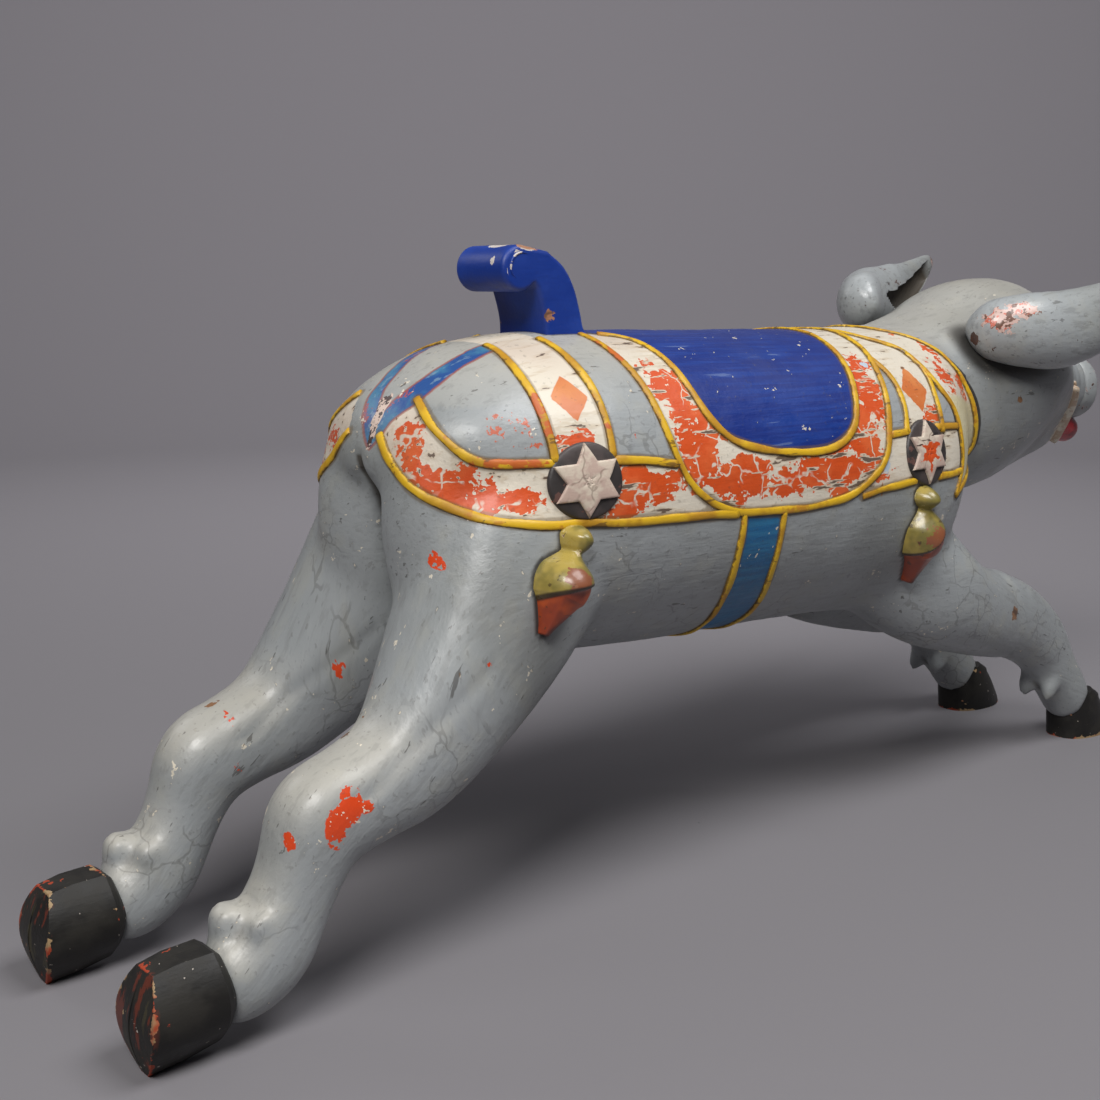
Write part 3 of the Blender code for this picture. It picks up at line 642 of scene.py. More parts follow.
def ripples(points, size, seed):
    """A smooth uneven value from -1 to 1: the mean of eight sine waves in seeded directions."""
    rng = np.random.default_rng(seed)
    ways = unit(rng.normal(size=(8, 3)))
    rate = 2 * np.pi / (size * rng.uniform(0.6, 1.6, 8))
    return np.sin(points @ (ways * rate[:, None]).T + rng.uniform(0, 6.28, 8)).mean(axis=1) * 2


def wrap_place(points):
    """How far along and at what angle from the top of the back points lie: the ray's lean and turn."""
    x, y, z = points.T
    out = np.hypot(y, z - HARNESS_AXIS)
    lean = np.arctan2(np.maximum(RUMP_CENTRE - x, 0), out)
    along = np.where(x < RUMP_CENTRE, RUMP_CENTRE - RUMP_REACH * lean, x)
    return along, np.degrees(np.arctan2(np.abs(y), z - HARNESS_AXIS))


def on_body(surface, side, along, angle):
    """The point and outward direction of the body at a wrap place: a ray cast back to the axis."""
    a = math.radians(angle)
    lean = max(0.0, RUMP_CENTRE - along) / RUMP_REACH
    out = Vector((-math.sin(lean), math.cos(lean) * side * math.sin(a), math.cos(lean) * math.cos(a)))
    middle = Vector((max(along, RUMP_CENTRE), 0, HARNESS_AXIS))
    hit = surface.ray_cast(middle + out * 0.5, -out)
    return np.array(hit[0]), np.array(hit[1])


def path_on_body(surface, side, knots, step):
    """A curve through wrap places, laid on the body, with its outward directions."""
    path = spaced(np.array([on_body(surface, side, *p)[0] for p in through(knots, 10)]), step)
    near = [surface.find_nearest(Vector(p)) for p in path]
    points, out = np.array([n[0] for n in near]), np.array([n[1] for n in near])
    for _ in range(3):
        out[1:-1] = (out[:-2] + out[1:-1] + out[2:]) / 3
        points[1:-1] = (points[:-2] + 2 * points[1:-1] + points[2:]) / 4
    return points, unit(out)


def within(outline, along, angle):
    """Even-odd test: inside where a level line from the place crosses the outline an odd number of times."""
    a = np.array(outline, float)
    inside = np.zeros(len(along), bool)
    for (ax, ay), (bx, by) in zip(a, np.roll(a, -1, axis=0)):
        if ay != by:
            crosses = (ay > angle) != (by > angle)
            inside ^= crosses & (along < ax + (angle - ay) * (bx - ax) / (by - ay))
    return inside


def reach_to(path, points):
    """Distance of every point from a path: to the nearest foot on its straight stretches."""
    best = np.full(len(points), 1.0)
    for a, b in zip(path, path[1:]):
        ab = b - a
        t = np.clip((points - a) @ ab / max(ab @ ab, 1e-12), 0, 1)
        best = np.minimum(best, np.linalg.norm(points - a - t[:, None] * ab, axis=1))
    return best


def painted_areas(surface, points):
    """The signed distances of every painted area of the harness, by name."""
    curve = {name: through(knots, 5).tolist() for name, knots in PIPING.items()}
    along, angle = wrap_place(points)
    folded = points * (1, 0, 1) + np.abs(points) * (0, 1, 0)
    close = (points[:, 0] > 0.22) & (points[:, 0] < 1.12) & (points[:, 2] > 0.20)

    def area(outline, edge, side=1, turned=angle, places=folded):
        """Inside the outline the distance from its edge, outside it minus that distance."""
        values = np.full(len(points), -1.0)
        path = np.array([on_body(surface, side, *p)[0] for p in edge])
        apart = reach_to(path, places[close])
        values[close] = np.where(within(outline, along[close], turned[close]), apart, -apart)
        return values

    outer, inner = curve["saddle_outer"], curve["saddle_inner"]
    upper, lower = curve["rump_upper"], curve["rump_lower"]
    back, front = curve["rear_strap_back"], curve["rear_strap_front"]
    wedge_side, strap = curve["front_strap_back"], curve["front_strap_front"]
    collar, post = curve["collar"], curve["breast_post"]
    outer_front = [p for p in outer if p[0] > 0.81]
    outer_wedge = [p for p in outer if p[0] > 0.826 and 34 < p[1] < 74]
    outer_low = [p for p in outer if p[0] > 0.78 and 71 < p[1] < 92]
    strap_top = [p for p in strap if p[1] < 36]
    post_low = [p for p in post if 70 < p[1] < 88.5]

    saddle = area(
        inner + [[0.837, PAST_TOP], [0.512, PAST_TOP], [0.512, 14]],
        [[0.513, 0], [0.514, 12]] + inner)
    band = area(outer + [[0.884, PAST_TOP], [0.498, PAST_TOP]], [[0.498, 0]] + outer)
    rump = area(lower + upper[::-1], lower + upper[::-1] + lower[:1])
    rear = area(
        [[0.391, PAST_TOP]] + back + front[::-1] + [[0.441, PAST_TOP]],
        [[0.391, 1]] + back + front[::-1] + [[0.441, 1]])
    front_strap = area(
        [[0.882, PAST_TOP]] + strap + outer_front + [[0.884, PAST_TOP]],
        [[0.882, 1]] + strap + outer_front)
    wedge = area(wedge_side + outer_wedge, wedge_side + outer_wedge + wedge_side[:1])
    front_strap = np.where(wedge > 0, -wedge, front_strap)
    neck_band = area(
        [[0.882, PAST_TOP]] + strap_top + post + collar[::-1] + [[0.950, PAST_TOP]],
        [[0.882, 1]] + strap_top + post + collar[::-1])
    breast_edge = curve["breast_upper"] + post_low + curve["breast_lower"][::-1]
    breast = area(breast_edge + outer_low, breast_edge)
    girth = curve["girth_back"] + curve["girth_front"][::-1]
    near_angle = angle * np.where(points[:, 1] < 0, 1, -1)
    beyond = (neck_band <= 0) & (along > 0.96) & (angle > 30)
    marks = {
        "saddle": saddle,
        "cream": np.max([band, rump, rear, front_strap, neck_band, breast], axis=0),
        "crupper": area(CRUPPER, CRUPPER + CRUPPER[:1], -1, near_angle, points),
        "girth": area([p if p[1] < 180 else [p[0], 190] for p in girth], girth),
        "lozenge": np.max([area(c, c + c[:1]) for c in LOZENGES], axis=0),
        "plain": np.where(neck_band > 0, (angle - 55) / 8, -1),
        "collar": np.where(beyond, -neck_band, 1.0),
        "piping": np.full(len(points), 1.0),
    }
    lines = [np.array([on_body(surface, 1, *p)[0] for p in path]) for path in curve.values()]
    marks["piping"][close] = np.min([reach_to(line, folded[close]) for line in lines], axis=0)
    orange = np.zeros(len(points))
    for a, t, ra, rt, strength in ORANGE_PLACES:
        mound = np.exp(-((along - a) / ra) ** 2 / 2 - ((angle - t) / rt) ** 2 / 2)
        orange = np.maximum(orange, strength * mound)
    marks["orange"] = orange * np.where(points[:, 1] < 0, 1.0, 0.75)
    return marks


def spots(points, places):
    """How deep inside the nearest of several ellipsoids a point lies: 1 in its middle, 0 on its skin."""
    best = np.full(len(points), -1.0)
    for x, y, z, rx, ry, rz in places:
        apart = np.sqrt((((points - (x, y, z)) / (rx, ry, rz)) ** 2).sum(axis=1))
        best = np.maximum(best, 1 - apart)
    return best


def hollows(points, normals, edges):
    """How far the evened surface stands outside the real one: more than nought in a hollow."""
    return ((evened(points, edges, 15) - points) * normals).sum(axis=1)


def sculpted(points, normals, sizes):
    """The carver's work on the body: each point moved along its normal by grooves, folds and tool marks."""
    x, y, z = points.T
    side = np.abs(y)

    def mound(place, reach):
        """A soft mound about a place: e to the minus sum of the squared shares of its reaches."""
        apart = [((v - p) / r) ** 2 for v, p, r in zip((x, side, z), place, reach)]
        return np.exp(-sum(apart))

    lift = sizes.tool_marks * (0.65 * ripples(points, 0.110, 3) + 0.35 * ripples(points, 0.045, 5))
    cleft = bump(side, 0.0065) * (x < 0.40) * ramp(z, 0.235, 0.265) * ramp(z, 0.462, 0.432)
    lift -= 0.014 * cleft * np.clip(-normals[:, 0] + 0.35, 0, 1)
    lift -= 0.004 * mound((1.292, 0.100, 0.526), (0.024, 0.030, 0.018))
    lift += 0.005 * mound((1.284, 0.086, 0.556), (0.034, 0.030, 0.012))
    fold = ramp(x, 1.345, 1.365) * ramp(x, 1.425, 1.415) * ramp(z, 0.455, 0.475)
    lift += 0.0014 * fold * np.sin(2 * np.pi * (x + 0.15 * (z - 0.5)) / 0.019)
    lift += 0.004 * mound((1.225, 0.125, 0.430), (0.060, 0.050, 0.050))
    jaw = np.abs((x - 1.06) * 0.94 + (z - 0.45) * 0.34)
    lift -= 0.0022 * bump(jaw, 0.010) * (z < 0.50)
    hock_fold = np.abs((x - 0.235) * 0.62 - (z - 0.236) * 0.78)
    lift -= 0.0020 * bump(hock_fold, 0.007) * (x < 0.30) * (z < 0.30) * (z > 0.19)
    return points + normals * lift[:, None]


def grain_places(points):
    """The points with those of the legs turned about a pivot, so that the grain runs down each leg."""
    x, z = points[:, 0], points[:, 2]
    hind = ramp(z, 0.35, 0.23) * (x < 0.50)
    fore = ramp(x, 0.99, 1.07) * ramp(z, 0.31, 0.26)
    turned = points.copy()
    for share, lean, (px, pz) in ((hind, 0.80, (0.36, 0.30)), (fore, -0.40, (1.03, 0.235))):
        c, s = np.cos(lean * share), np.sin(lean * share)
        dx, dz = x - px, z - pz
        turned[:, 0] += np.where(share > 0, c * dx + s * dz - dx, 0)
        turned[:, 2] += np.where(share > 0, c * dz - s * dx - dz, 0)
    return turned


def nodes_of(owner):
    """The node tree of a material or a world, switched on."""
    owner.use_nodes = True
    return owner.node_tree


def fed(tree, node, values):
    """The node with each of its named inputs given a value or a link."""
    for slot, value in values.items():
        if isinstance(value, bpy.types.NodeSocket):
            tree.links.new(value, node.inputs[slot])
        else:
            node.inputs[slot].default_value = value
    return node


def wire(tree, kind, values, **settings):
    """A shader node with its settings made and each input given a value or a link."""
    node = tree.nodes.new("ShaderNode" + kind)
    for key, value in settings.items():
        setattr(node, key, value)
    return fed(tree, node, values)


def calc(tree, operation, a, b=0.0, clamp=False):
    """Two values worked together."""
    return wire(tree, "Math", {0: a, 1: b}, operation=operation, use_clamp=clamp).outputs[0]


def times(tree, a, b, clamp=False):
    """One value times another."""
    return calc(tree, "MULTIPLY", a, b, clamp)


def swing(tree, value, reach):
    """A value about 0.5 made to swing about 0: less 0.5, times the reach."""
    return times(tree, calc(tree, "SUBTRACT", value, 0.5), reach)


def step_up(tree, value, low, high, start=0.0, end=1.0):
    """A smooth step of a value between two levels."""
    values = {"Value": value, "From Min": low, "From Max": high, "To Min": start, "To Max": end}
    return wire(tree, "MapRange", values, interpolation_type="SMOOTHSTEP").outputs[0]


def over(tree, mask, under, top, share=1.0):
    """One colour laid over another where the mask says, at most at its share."""
    if share != 1.0:
        mask = times(tree, mask, share)
    return wire(tree, "Mix", {0: mask, 6: under, 7: top}, data_type="RGBA").outputs[2]


def rgb(colour):
    """A colour as a node takes it."""
    return (*colour, 1.0)


def tinted(colour, *shares):
    """A colour with its three parts multiplied."""
    return rgb([c * k for c, k in zip(colour, shares)])


def read_mark(tree, name, word="Fac"):
    """A value, or with the word Vector a place, that the mesh keeps for each point."""
    return wire(tree, "Attribute", {}, attribute_name=name, attribute_type="GEOMETRY").outputs[word]


def place_of(tree):
    """The place on the object."""
    return wire(tree, "TexCoord", {}).outputs["Object"]


def noise(tree, place, scale, detail=3.0, rough=0.6):
    """Blender's noise as a value about 0.5."""
    values = {"Vector": place, "Scale": scale, "Detail": detail, "Roughness": rough}
    return wire(tree, "TexNoise", values).outputs["Fac"]


def drawn(tree, place, squeeze, shift=0.0):
    """The place squeezed along x, so that what is read from it is drawn out along x."""
    values = {"Vector": place, "Scale": (squeeze, 1.0, 1.0), "Location": (shift, shift, shift)}
    return wire(tree, "Mapping", values).outputs[0]


def new_group(name, takes, gives):
    """An empty shader group with named inputs and outputs."""
    group = bpy.data.node_groups.new(name, "ShaderNodeTree")
    for word, kind, default in takes:
        socket = group.interface.new_socket(word, in_out="INPUT", socket_type="NodeSocket" + kind)
        socket.default_value = default
    for word, kind in gives:
        group.interface.new_socket(word, in_out="OUTPUT", socket_type="NodeSocket" + kind)
    return group, group.nodes.new("NodeGroupInput").outputs, group.nodes.new("NodeGroupOutput").inputs


def use_group(tree, name, values):
    """A shared effect placed in a material with its own values: what it gives."""
    node = tree.nodes.new("ShaderNodeGroup")
    node.node_tree = bpy.data.node_groups[name]
    return fed(tree, node, values).outputs


def make_age_group():
    """Marks of age that the coats share: grain and torn flakes drawn out along x, mottle, clouds, specks
    and cracks."""
    names = ("Grain", "Torn", "Mottle", "Cloud", "Specks", "Cracks")
    takes = [("Place", "Vector", (0.0, 0.0, 0.0))]
    g, take, give = new_group("paint_age", takes, [(name, "Float") for name in names])
    place = take["Place"]
    mottle = wire(g, "TexNoise", {"Vector": place, "Scale": 24.0, "Detail": 3.0, "Roughness": 0.6})
    off = {0: mottle.outputs["Color"], 1: (0.5, 0.5, 0.5)}
    off = wire(g, "VectorMath", off, operation="SUBTRACT").outputs[0]
    off = wire(g, "VectorMath", {0: off, "Scale": 0.035}, operation="SCALE").outputs[0]
    bent = wire(g, "VectorMath", {0: place, 1: off}, operation="ADD").outputs[0]
    cells = wire(g, "TexVoronoi", {"Vector": bent, "Scale": 26.0}, feature="DISTANCE_TO_EDGE")
    specks = noise(g, place, 170.0, 2.0)
    flakes = noise(g, drawn(g, place, 0.62, 3.0), 40.0, 4.0, 0.62)
    hold = step_up(g, mottle.outputs["Fac"], 0.44, 0.52)
    found = (
        noise(g, drawn(g, place, 0.17), 125.0, 3.0, 0.62),
        calc(g, "ADD", flakes, swing(g, specks, 0.30)),
        mottle.outputs["Fac"],
        noise(g, place, 5.5, 1.0),
        specks,
        times(g, step_up(g, cells.outputs["Distance"], 0.034, 0.012), hold),
    )
    for name, value in zip(names, found):
        g.links.new(value, give[name])


def make_coat_group():
    """Where a coat is left: the torn pattern set against how much is left, from none at 0 to all at 1."""
    takes = [("Torn", "Float", 0.5), ("Left", "Float", 0.5)]
    g, take, give = new_group("coat_left", takes, [("Coat", "Float")])
    level = wire(g, "MapRange", {"Value": take["Left"], "To Min": 0.76, "To Max": 0.24}).outputs[0]
    g.links.new(step_up(g, calc(g, "SUBTRACT", take["Torn"], level), -0.006, 0.006), give["Coat"])


def make_grime_and_shade_group():
    """Painted shade and dirt in the hollows, dirt in soft clouds and in specks, all times the amount."""
    takes = [(word, "Float", 0.5) for word in ("Hollow", "Cloud", "Specks", "Amount")]
    g, take, give = new_group("old_grime", takes, [("Dirt", "Float")])
    # Painted shade, with dirt, where the hollow mark says the surface lies in a crease or pit.
    deep = step_up(g, take["Hollow"], 0.0003, 0.0030)
    cloud = times(g, step_up(g, take["Cloud"], 0.52, 0.74), 0.35)
    speck = times(g, step_up(g, take["Specks"], 0.62, 0.70), 0.30)
    total = calc(g, "ADD", calc(g, "ADD", cloud, deep), speck)
    g.links.new(times(g, total, take["Amount"], clamp=True), give["Dirt"])


def make_wood_group():
    """Bare wood: two tones of the wood by the grain."""
    takes = [("Grain", "Float", 0.5), ("Wood", "Color", (0.3, 0.16, 0.08, 1.0))]
    g, take, give = new_group("bare_wood", takes, [("Color", "Color")])
    dark = over(g, 0.70, take["Wood"], (0.035, 0.016, 0.010, 1))
    g.links.new(over(g, step_up(g, take["Grain"], 0.44, 0.60), take["Wood"], dark), give["Color"])


def new_paint(name, grain_mark=None):
    """A material, its tree and the marks of age, read at the object's places or at those of a mark."""
    material = bpy.data.materials.new(name)
    tree = nodes_of(material)
    place = read_mark(tree, grain_mark, "Vector") if grain_mark else place_of(tree)
    return material, tree, use_group(tree, "paint_age", {"Place": place})


def coat_left(tree, torn, amount):
    """The coat's mask where the torn pattern leaves so much of it."""
    return use_group(tree, "coat_left", {"Torn": torn, "Left": amount})["Coat"]


def flaky(tree, age):
    """The torn pattern made ragged by specks, for chips."""
    return calc(tree, "ADD", age["Torn"], swing(tree, age["Specks"], 0.55))


def wood_of(tree, age, colour):
    """Bare wood of a colour."""
    return use_group(tree, "bare_wood", {"Grain": age["Grain"], "Wood": colour})["Color"]


def grime_and_shade_of(tree, age, amount):
    """The mask of the dirt and of the painted shade in the hollows on a piece."""
    values = {"Hollow": read_mark(tree, "hollow"), "Cloud": age["Cloud"], "Specks": age["Specks"]}
    return use_group(tree, "old_grime", {**values, "Amount": amount})["Dirt"]


def relief_of(tree, age, grain=0.55, mottle=0.45):
    """Height of the paint: grain, mottle and specks, each times its share."""
    broad = calc(tree, "ADD", times(tree, age["Grain"], grain), times(tree, age["Mottle"], mottle))
    return calc(tree, "ADD", broad, times(tree, age["Specks"], 0.30))


def surface_out(tree, colour, rough, height, coat, coat_rough=0.28, depth=0.0010, shine=0.5):
    """The Principled surface that every painted finish ends in."""
    relief = wire(tree, "Bump", {"Strength": 0.7, "Distance": depth, "Height": height})
    fed(tree, tree.nodes["Principled BSDF"], {
        "Base Color": colour, "Roughness": rough, "Normal": relief.outputs[0],
        "Specular IOR Level": shine, "Coat Weight": coat, "Coat Roughness": coat_rough})


def pig_paint(paint):
    """The pig's own coats: grey body, cream and orange bands, blue saddle, teal girth, chips and grime,
    painted light and shade.
    """
    material, t, age = new_paint("worn_pig_paint", "grain_place")
    grain, torn, mottle, cloud = age["Grain"], age["Torn"], age["Mottle"], age["Cloud"]
    wander = swing(t, mottle, 0.004)
    marks = {}

    def m(name):
        """A mark of the body, its node made once."""
        if name not in marks:
            marks[name] = read_mark(t, name)
        return marks[name]

    def edge(name):
        """Inside a painted area, whose edge wanders a little."""
        return step_up(t, calc(t, "ADD", m(name), wander), -0.0006, 0.0006)

    def layer(mask, under, top, share=1.0):
        """One coat laid over another."""
        return over(t, mask, under, top, share)

    def left(amount):
        """What the torn pattern leaves of a coat."""
        return coat_left(t, torn, amount)

    # Grey: two tones, yellowed clouds, tops painted paler as painted light, furrows, splits and fine cracks.
    split = step_up(t, grain, 0.655, 0.685)
    grey = layer(step_up(t, cloud, 0.40, 0.64), rgb(paint.grey), tinted(paint.grey, 0.86, 0.86, 0.84))
    grey = layer(step_up(t, mottle, 0.50, 0.68), grey, (0.37, 0.36, 0.30, 1), 0.24)
    # Painted light: a paler, warmer grey where the surface faces up and on the hock tops.
    grey = layer(m("top"), grey, (0.54, 0.50, 0.42, 1), 0.45)
    grey = layer(step_up(t, grain, 0.46, 0.34), grey, (0.150, 0.150, 0.140, 1), 0.22)
    colour = layer(step_up(t, grain, 0.675, 0.700), grey, (0.040, 0.034, 0.028, 1), 0.62)
    crazed = times(t, age["Cracks"], step_up(t, cloud, 0.45, 0.38))
    colour = layer(crazed, colour, (0.050, 0.044, 0.036, 1), 0.30)

    # Cream with its splits, and what is left of the orange coat on it.
    cream = tinted(paint.cream, 0.80, 0.72, 0.62)
    cream = layer(step_up(t, grain, 0.50, 0.62), rgb(paint.cream), cream, 0.6)
    cream = layer(step_up(t, cloud, 0.50, 0.62), cream, (0.60, 0.46, 0.37, 1), 0.40)
    keep = step_up(t, m("plain"), 0.4, 0.0)
    checks = times(t, step_up(t, grain, 0.632, 0.664), keep)
    cream = layer(checks, cream, (0.085, 0.048, 0.032, 1), 0.90)
    tear = calc(t, "SUBTRACT", 1.0, times(t, age["Cracks"], 0.95))
    fleck = step_up(t, grain, 0.610, 0.590)
    coat = times(t, times(t, left(m("orange")), tear), times(t, fleck, keep))
    orange = tinted(paint.orange, 1.10, 1.50, 2.4)
    cream = layer(coat, cream, layer(step_up(t, mottle, 0.44, 0.64), rgb(paint.orange), orange))
    cream = layer(step_up(t, m("plain"), 0.0, 0.4), cream, (0.58, 0.52, 0.30, 1), 0.75)
    cream = layer(left(times(t, m("pale"), 1.3, clamp=True)), cream, (0.46, 0.54, 0.62, 1))
    colour = layer(edge("cream"), colour, cream)
    lozenge = layer(step_up(t, mottle, 0.4, 0.66), (0.56, 0.150, 0.034, 1), (0.62, 0.210, 0.055, 1))
    lozenge = layer(split, lozenge, (0.10, 0.030, 0.015, 1), 0.8)
    colour = layer(edge("lozenge"), colour, lozenge)

    # Blue saddle with brush strokes and nicks, teal girth, and the crupper with its red rim.
    brush = noise(t, drawn(t, read_mark(t, "grain_place", "Vector"), 0.05, 1.0), 190.0, 2.0, 0.65)
    light_blue = tinted(paint.blue, 1.2, 1.1, 0.95)
    blue = layer(step_up(t, brush, 0.40, 0.64), tinted(paint.blue, 0.7, 0.65, 0.72), light_blue)
    blue = layer(step_up(t, brush, 0.68, 0.71), blue, (0.20, 0.27, 0.44, 1), 0.35)
    blue = layer(step_up(t, cloud, 0.46, 0.36), blue, tinted(paint.blue, 0.5, 0.6, 0.72), 0.6)
    nicks = left(times(t, m("saddle_chip"), 1.4, clamp=True))
    nicks = calc(t, "MAXIMUM", nicks, step_up(t, age["Specks"], 0.745, 0.755))
    blue = layer(nicks, blue, (0.66, 0.62, 0.56, 1))
    colour = layer(edge("saddle"), colour, blue)
    teal = layer(step_up(t, brush, 0.40, 0.62), rgb(paint.teal), tinted(paint.teal, 2.6, 1.35, 1.15))
    teal = layer(step_up(t, torn, 0.70, 0.705), teal, (0.55, 0.50, 0.42, 1))
    colour = layer(edge("girth"), colour, teal)
    strap = layer(step_up(t, mottle, 0.42, 0.60), (0.022, 0.080, 0.270, 1), (0.050, 0.190, 0.330, 1))
    strap = layer(step_up(t, grain, 0.56, 0.66), strap, (0.22, 0.33, 0.42, 1), 0.55)
    strap = layer(step_up(t, torn, 0.62, 0.64), strap, (0.36, 0.07, 0.085, 1), 0.9)
    rim = step_up(t, calc(t, "ABSOLUTE", calc(t, "ADD", m("crupper"), wander)), 0.0024, 0.0010)
    colour = layer(edge("crupper"), colour, strap)
    colour = layer(rim, colour, (0.30, 0.070, 0.040, 1), 0.7)
    stain = step_up(t, calc(t, "ADD", m("piping"), wander), 0.0074, 0.0050)
    colour = layer(stain, colour, (0.125, 0.074, 0.018, 1), 0.55)
    colour = layer(step_up(t, m("collar"), 0.0098, 0.0084), colour, (0.016, 0.014, 0.012, 1), 0.9)

    # Damage, the lip, the mouth, dirt with painted shade, and painted shade at the seams.
    ragged = flaky(t, age)

    def damage(name, under, top, more=1.4, base=0.16):
        """A colour laid where a mark and the ragged pattern say that the coat is gone."""
        amount = calc(t, "ADD", times(t, m(name), more), base, clamp=True)
        gone = times(t, coat_left(t, ragged, amount), step_up(t, m(name), 0.0, 0.10))
        return layer(gone, under, top)

    colour = damage("chip", colour, (0.66, 0.058, 0.008, 1), 0.52, 0.32)
    colour = damage("rub", colour, (0.50, 0.115, 0.060, 1), 0.20, 0.24)
    colour = damage("bare", colour, wood_of(t, age, rgb(paint.wood)))
    colour = damage("tail", colour, (0.050, 0.022, 0.018, 1), 1.6, 0.30)
    sliver = times(t, step_up(t, m("tail"), 0.0, 0.10), step_up(t, ragged, 0.50, 0.53))
    colour = layer(sliver, colour, (0.66, 0.50, 0.42, 1))
    lip = layer(split, (0.74, 0.67, 0.55, 1), (0.10, 0.055, 0.035, 1), 0.9)
    colour = layer(coat_left(t, ragged, m("lip")), colour, lip)
    colour = layer(step_up(t, m("mouth"), 0.3, 0.7), colour, (0.34, 0.105, 0.095, 1))
    # Dirt, and painted shade in the creases, the buttock cleft and the other hollows.
    grime_shade_mask = grime_and_shade_of(t, age, 0.80)
    colour = layer(grime_shade_mask, colour, (0.060, 0.048, 0.034, 1))
    # Painted shade: near-black in the gaps where the ears, the cantle and the tassels meet the body.
    colour = layer(step_up(t, m("seam"), 0.0, 1.0), colour, (0.018, 0.014, 0.011, 1), 0.88)
    rough = calc(t, "ADD", step_up(t, mottle, 0.35, 0.65, 0.36, 0.50), times(t, grime_shade_mask, 0.3))
    rough = calc(t, "ADD", rough, times(t, calc(t, "MAXIMUM", edge("cream"), edge("saddle")), 0.10))
    surface_out(t, colour, rough, relief_of(t, age), coat=0.20, coat_rough=0.20, depth=0.0017)
    return material


def piping_paint(paint):
    """Yellow lines, brown along their feet and worn orange and brown in places."""
    material, t, age = new_paint("yellow_piping_paint")
    tone, grain, torn = age["Mottle"], age["Grain"], age["Torn"]
    colour = over(t, step_up(t, tone, 0.44, 0.62), rgb(paint.yellow), tinted(paint.yellow, 0.70, 0.58, 0.7))
    colour = over(t, step_up(t, torn, 0.60, 0.66), colour, (0.46, 0.17, 0.018, 1), 0.65)
    red = step_up(t, calc(t, "ADD", age["Cloud"], times(t, torn, 0.5)), 0.955, 0.985)
    colour = over(t, red, colour, (0.50, 0.085, 0.016, 1), 0.85)
    colour = over(t, step_up(t, grain, 0.64, 0.67), colour, (0.11, 0.055, 0.014, 1), 0.7)
    side = calc(t, "ABSOLUTE", read_mark(t, "across"))
    foot = step_up(t, calc(t, "ADD", side, swing(t, grain, 1.1)), 0.74, 1.00)
    colour = over(t, foot, colour, (0.090, 0.052, 0.014, 1), 0.80)
    surface_out(t, colour, step_up(t, tone, 0.3, 0.7, 0.42, 0.60), relief_of(t, age), coat=0.05)
    return material


def disc_paint(paint):
    """Charcoal of the round plates."""
    material, t, age = new_paint("charcoal_disc_paint")
    dark = tinted(paint.black, 2.3, 2.1, 2.2)
    dark = over(t, step_up(t, age["Mottle"], 0.42, 0.62), dark, (0.065, 0.050, 0.048, 1))
    dark = over(t, step_up(t, age["Torn"], 0.62, 0.63), dark, (0.12, 0.060, 0.050, 1))
    dark = over(t, step_up(t, age["Grain"], 0.64, 0.67), dark, (0.012, 0.010, 0.010, 1), 0.6)
    surface_out(t, dark, step_up(t, age["Cloud"], 0.3, 0.7, 0.40, 0.55), relief_of(t, age), coat=0.1)
    return material


def star_paint(paint, name, orange):
    """Cream of a star, with its share of the orange coat left in its middle."""
    material, t, age = new_paint(name)
    pale = tinted(paint.cream, 0.92, 0.86, 0.84)
    pale = over(t, step_up(t, age["Torn"], 0.44, 0.58), pale, (0.50, 0.37, 0.31, 1))
    pale = over(t, step_up(t, age["Grain"], 0.65, 0.68), pale, (0.075, 0.042, 0.032, 1))
    amount = calc(t, "SUBTRACT", orange, read_mark(t, "reach"), clamp=True)
    pale = over(t, coat_left(t, age["Torn"], amount), pale, rgb(paint.orange))
    pale = over(t, age["Cracks"], pale, (0.12, 0.070, 0.050, 1), 0.45)
    surface_out(t, pale, step_up(t, age["Cloud"], 0.3, 0.7, 0.42, 0.58), relief_of(t, age), coat=0.1)
    return material


def hoof_paint(paint):
    """Brown-black hooves with rubbed edges, red-streaked soles and a few chips."""
    material, t, age = new_paint("worn_hoof_paint")
    tone, torn, sole = age["Mottle"], age["Torn"], read_mark(t, "sole")
    colour = over(t, step_up(t, tone, 0.42, 0.62), rgb(paint.black), (0.024, 0.022, 0.019, 1))
    upright = wire(t, "Mapping", {"Vector": place_of(t), "Scale": (1.0, 1.0, 0.16)}).outputs[0]
    streak = noise(t, upright, 95.0, 3.0, 0.65)
    red = times(t, step_up(t, streak, 0.54, 0.60), sole)
    colour = over(t, red, colour, (0.150, 0.030, 0.016, 1), 0.75)
    olive = times(t, step_up(t, streak, 0.42, 0.36), sole)
    colour = over(t, olive, colour, (0.070, 0.060, 0.030, 1), 0.5)
    tan = over(t, step_up(t, tone, 0.48, 0.56), (0.34, 0.23, 0.12, 1), (0.34, 0.050, 0.020, 1))
    colour = over(t, coat_left(t, torn, read_mark(t, "worn")), colour, tan)
    colour = over(t, step_up(t, age["Specks"], 0.725, 0.735), colour, (0.45, 0.40, 0.35, 1))
    colour = over(t, step_up(t, torn, 0.715, 0.722), colour, (0.48, 0.045, 0.015, 1))
    rough = step_up(t, tone, 0.3, 0.7, 0.42, 0.60)
    surface_out(t, colour, rough, relief_of(t, age, 0.5, 0.6), coat=0.02, shine=0.28)
    return material


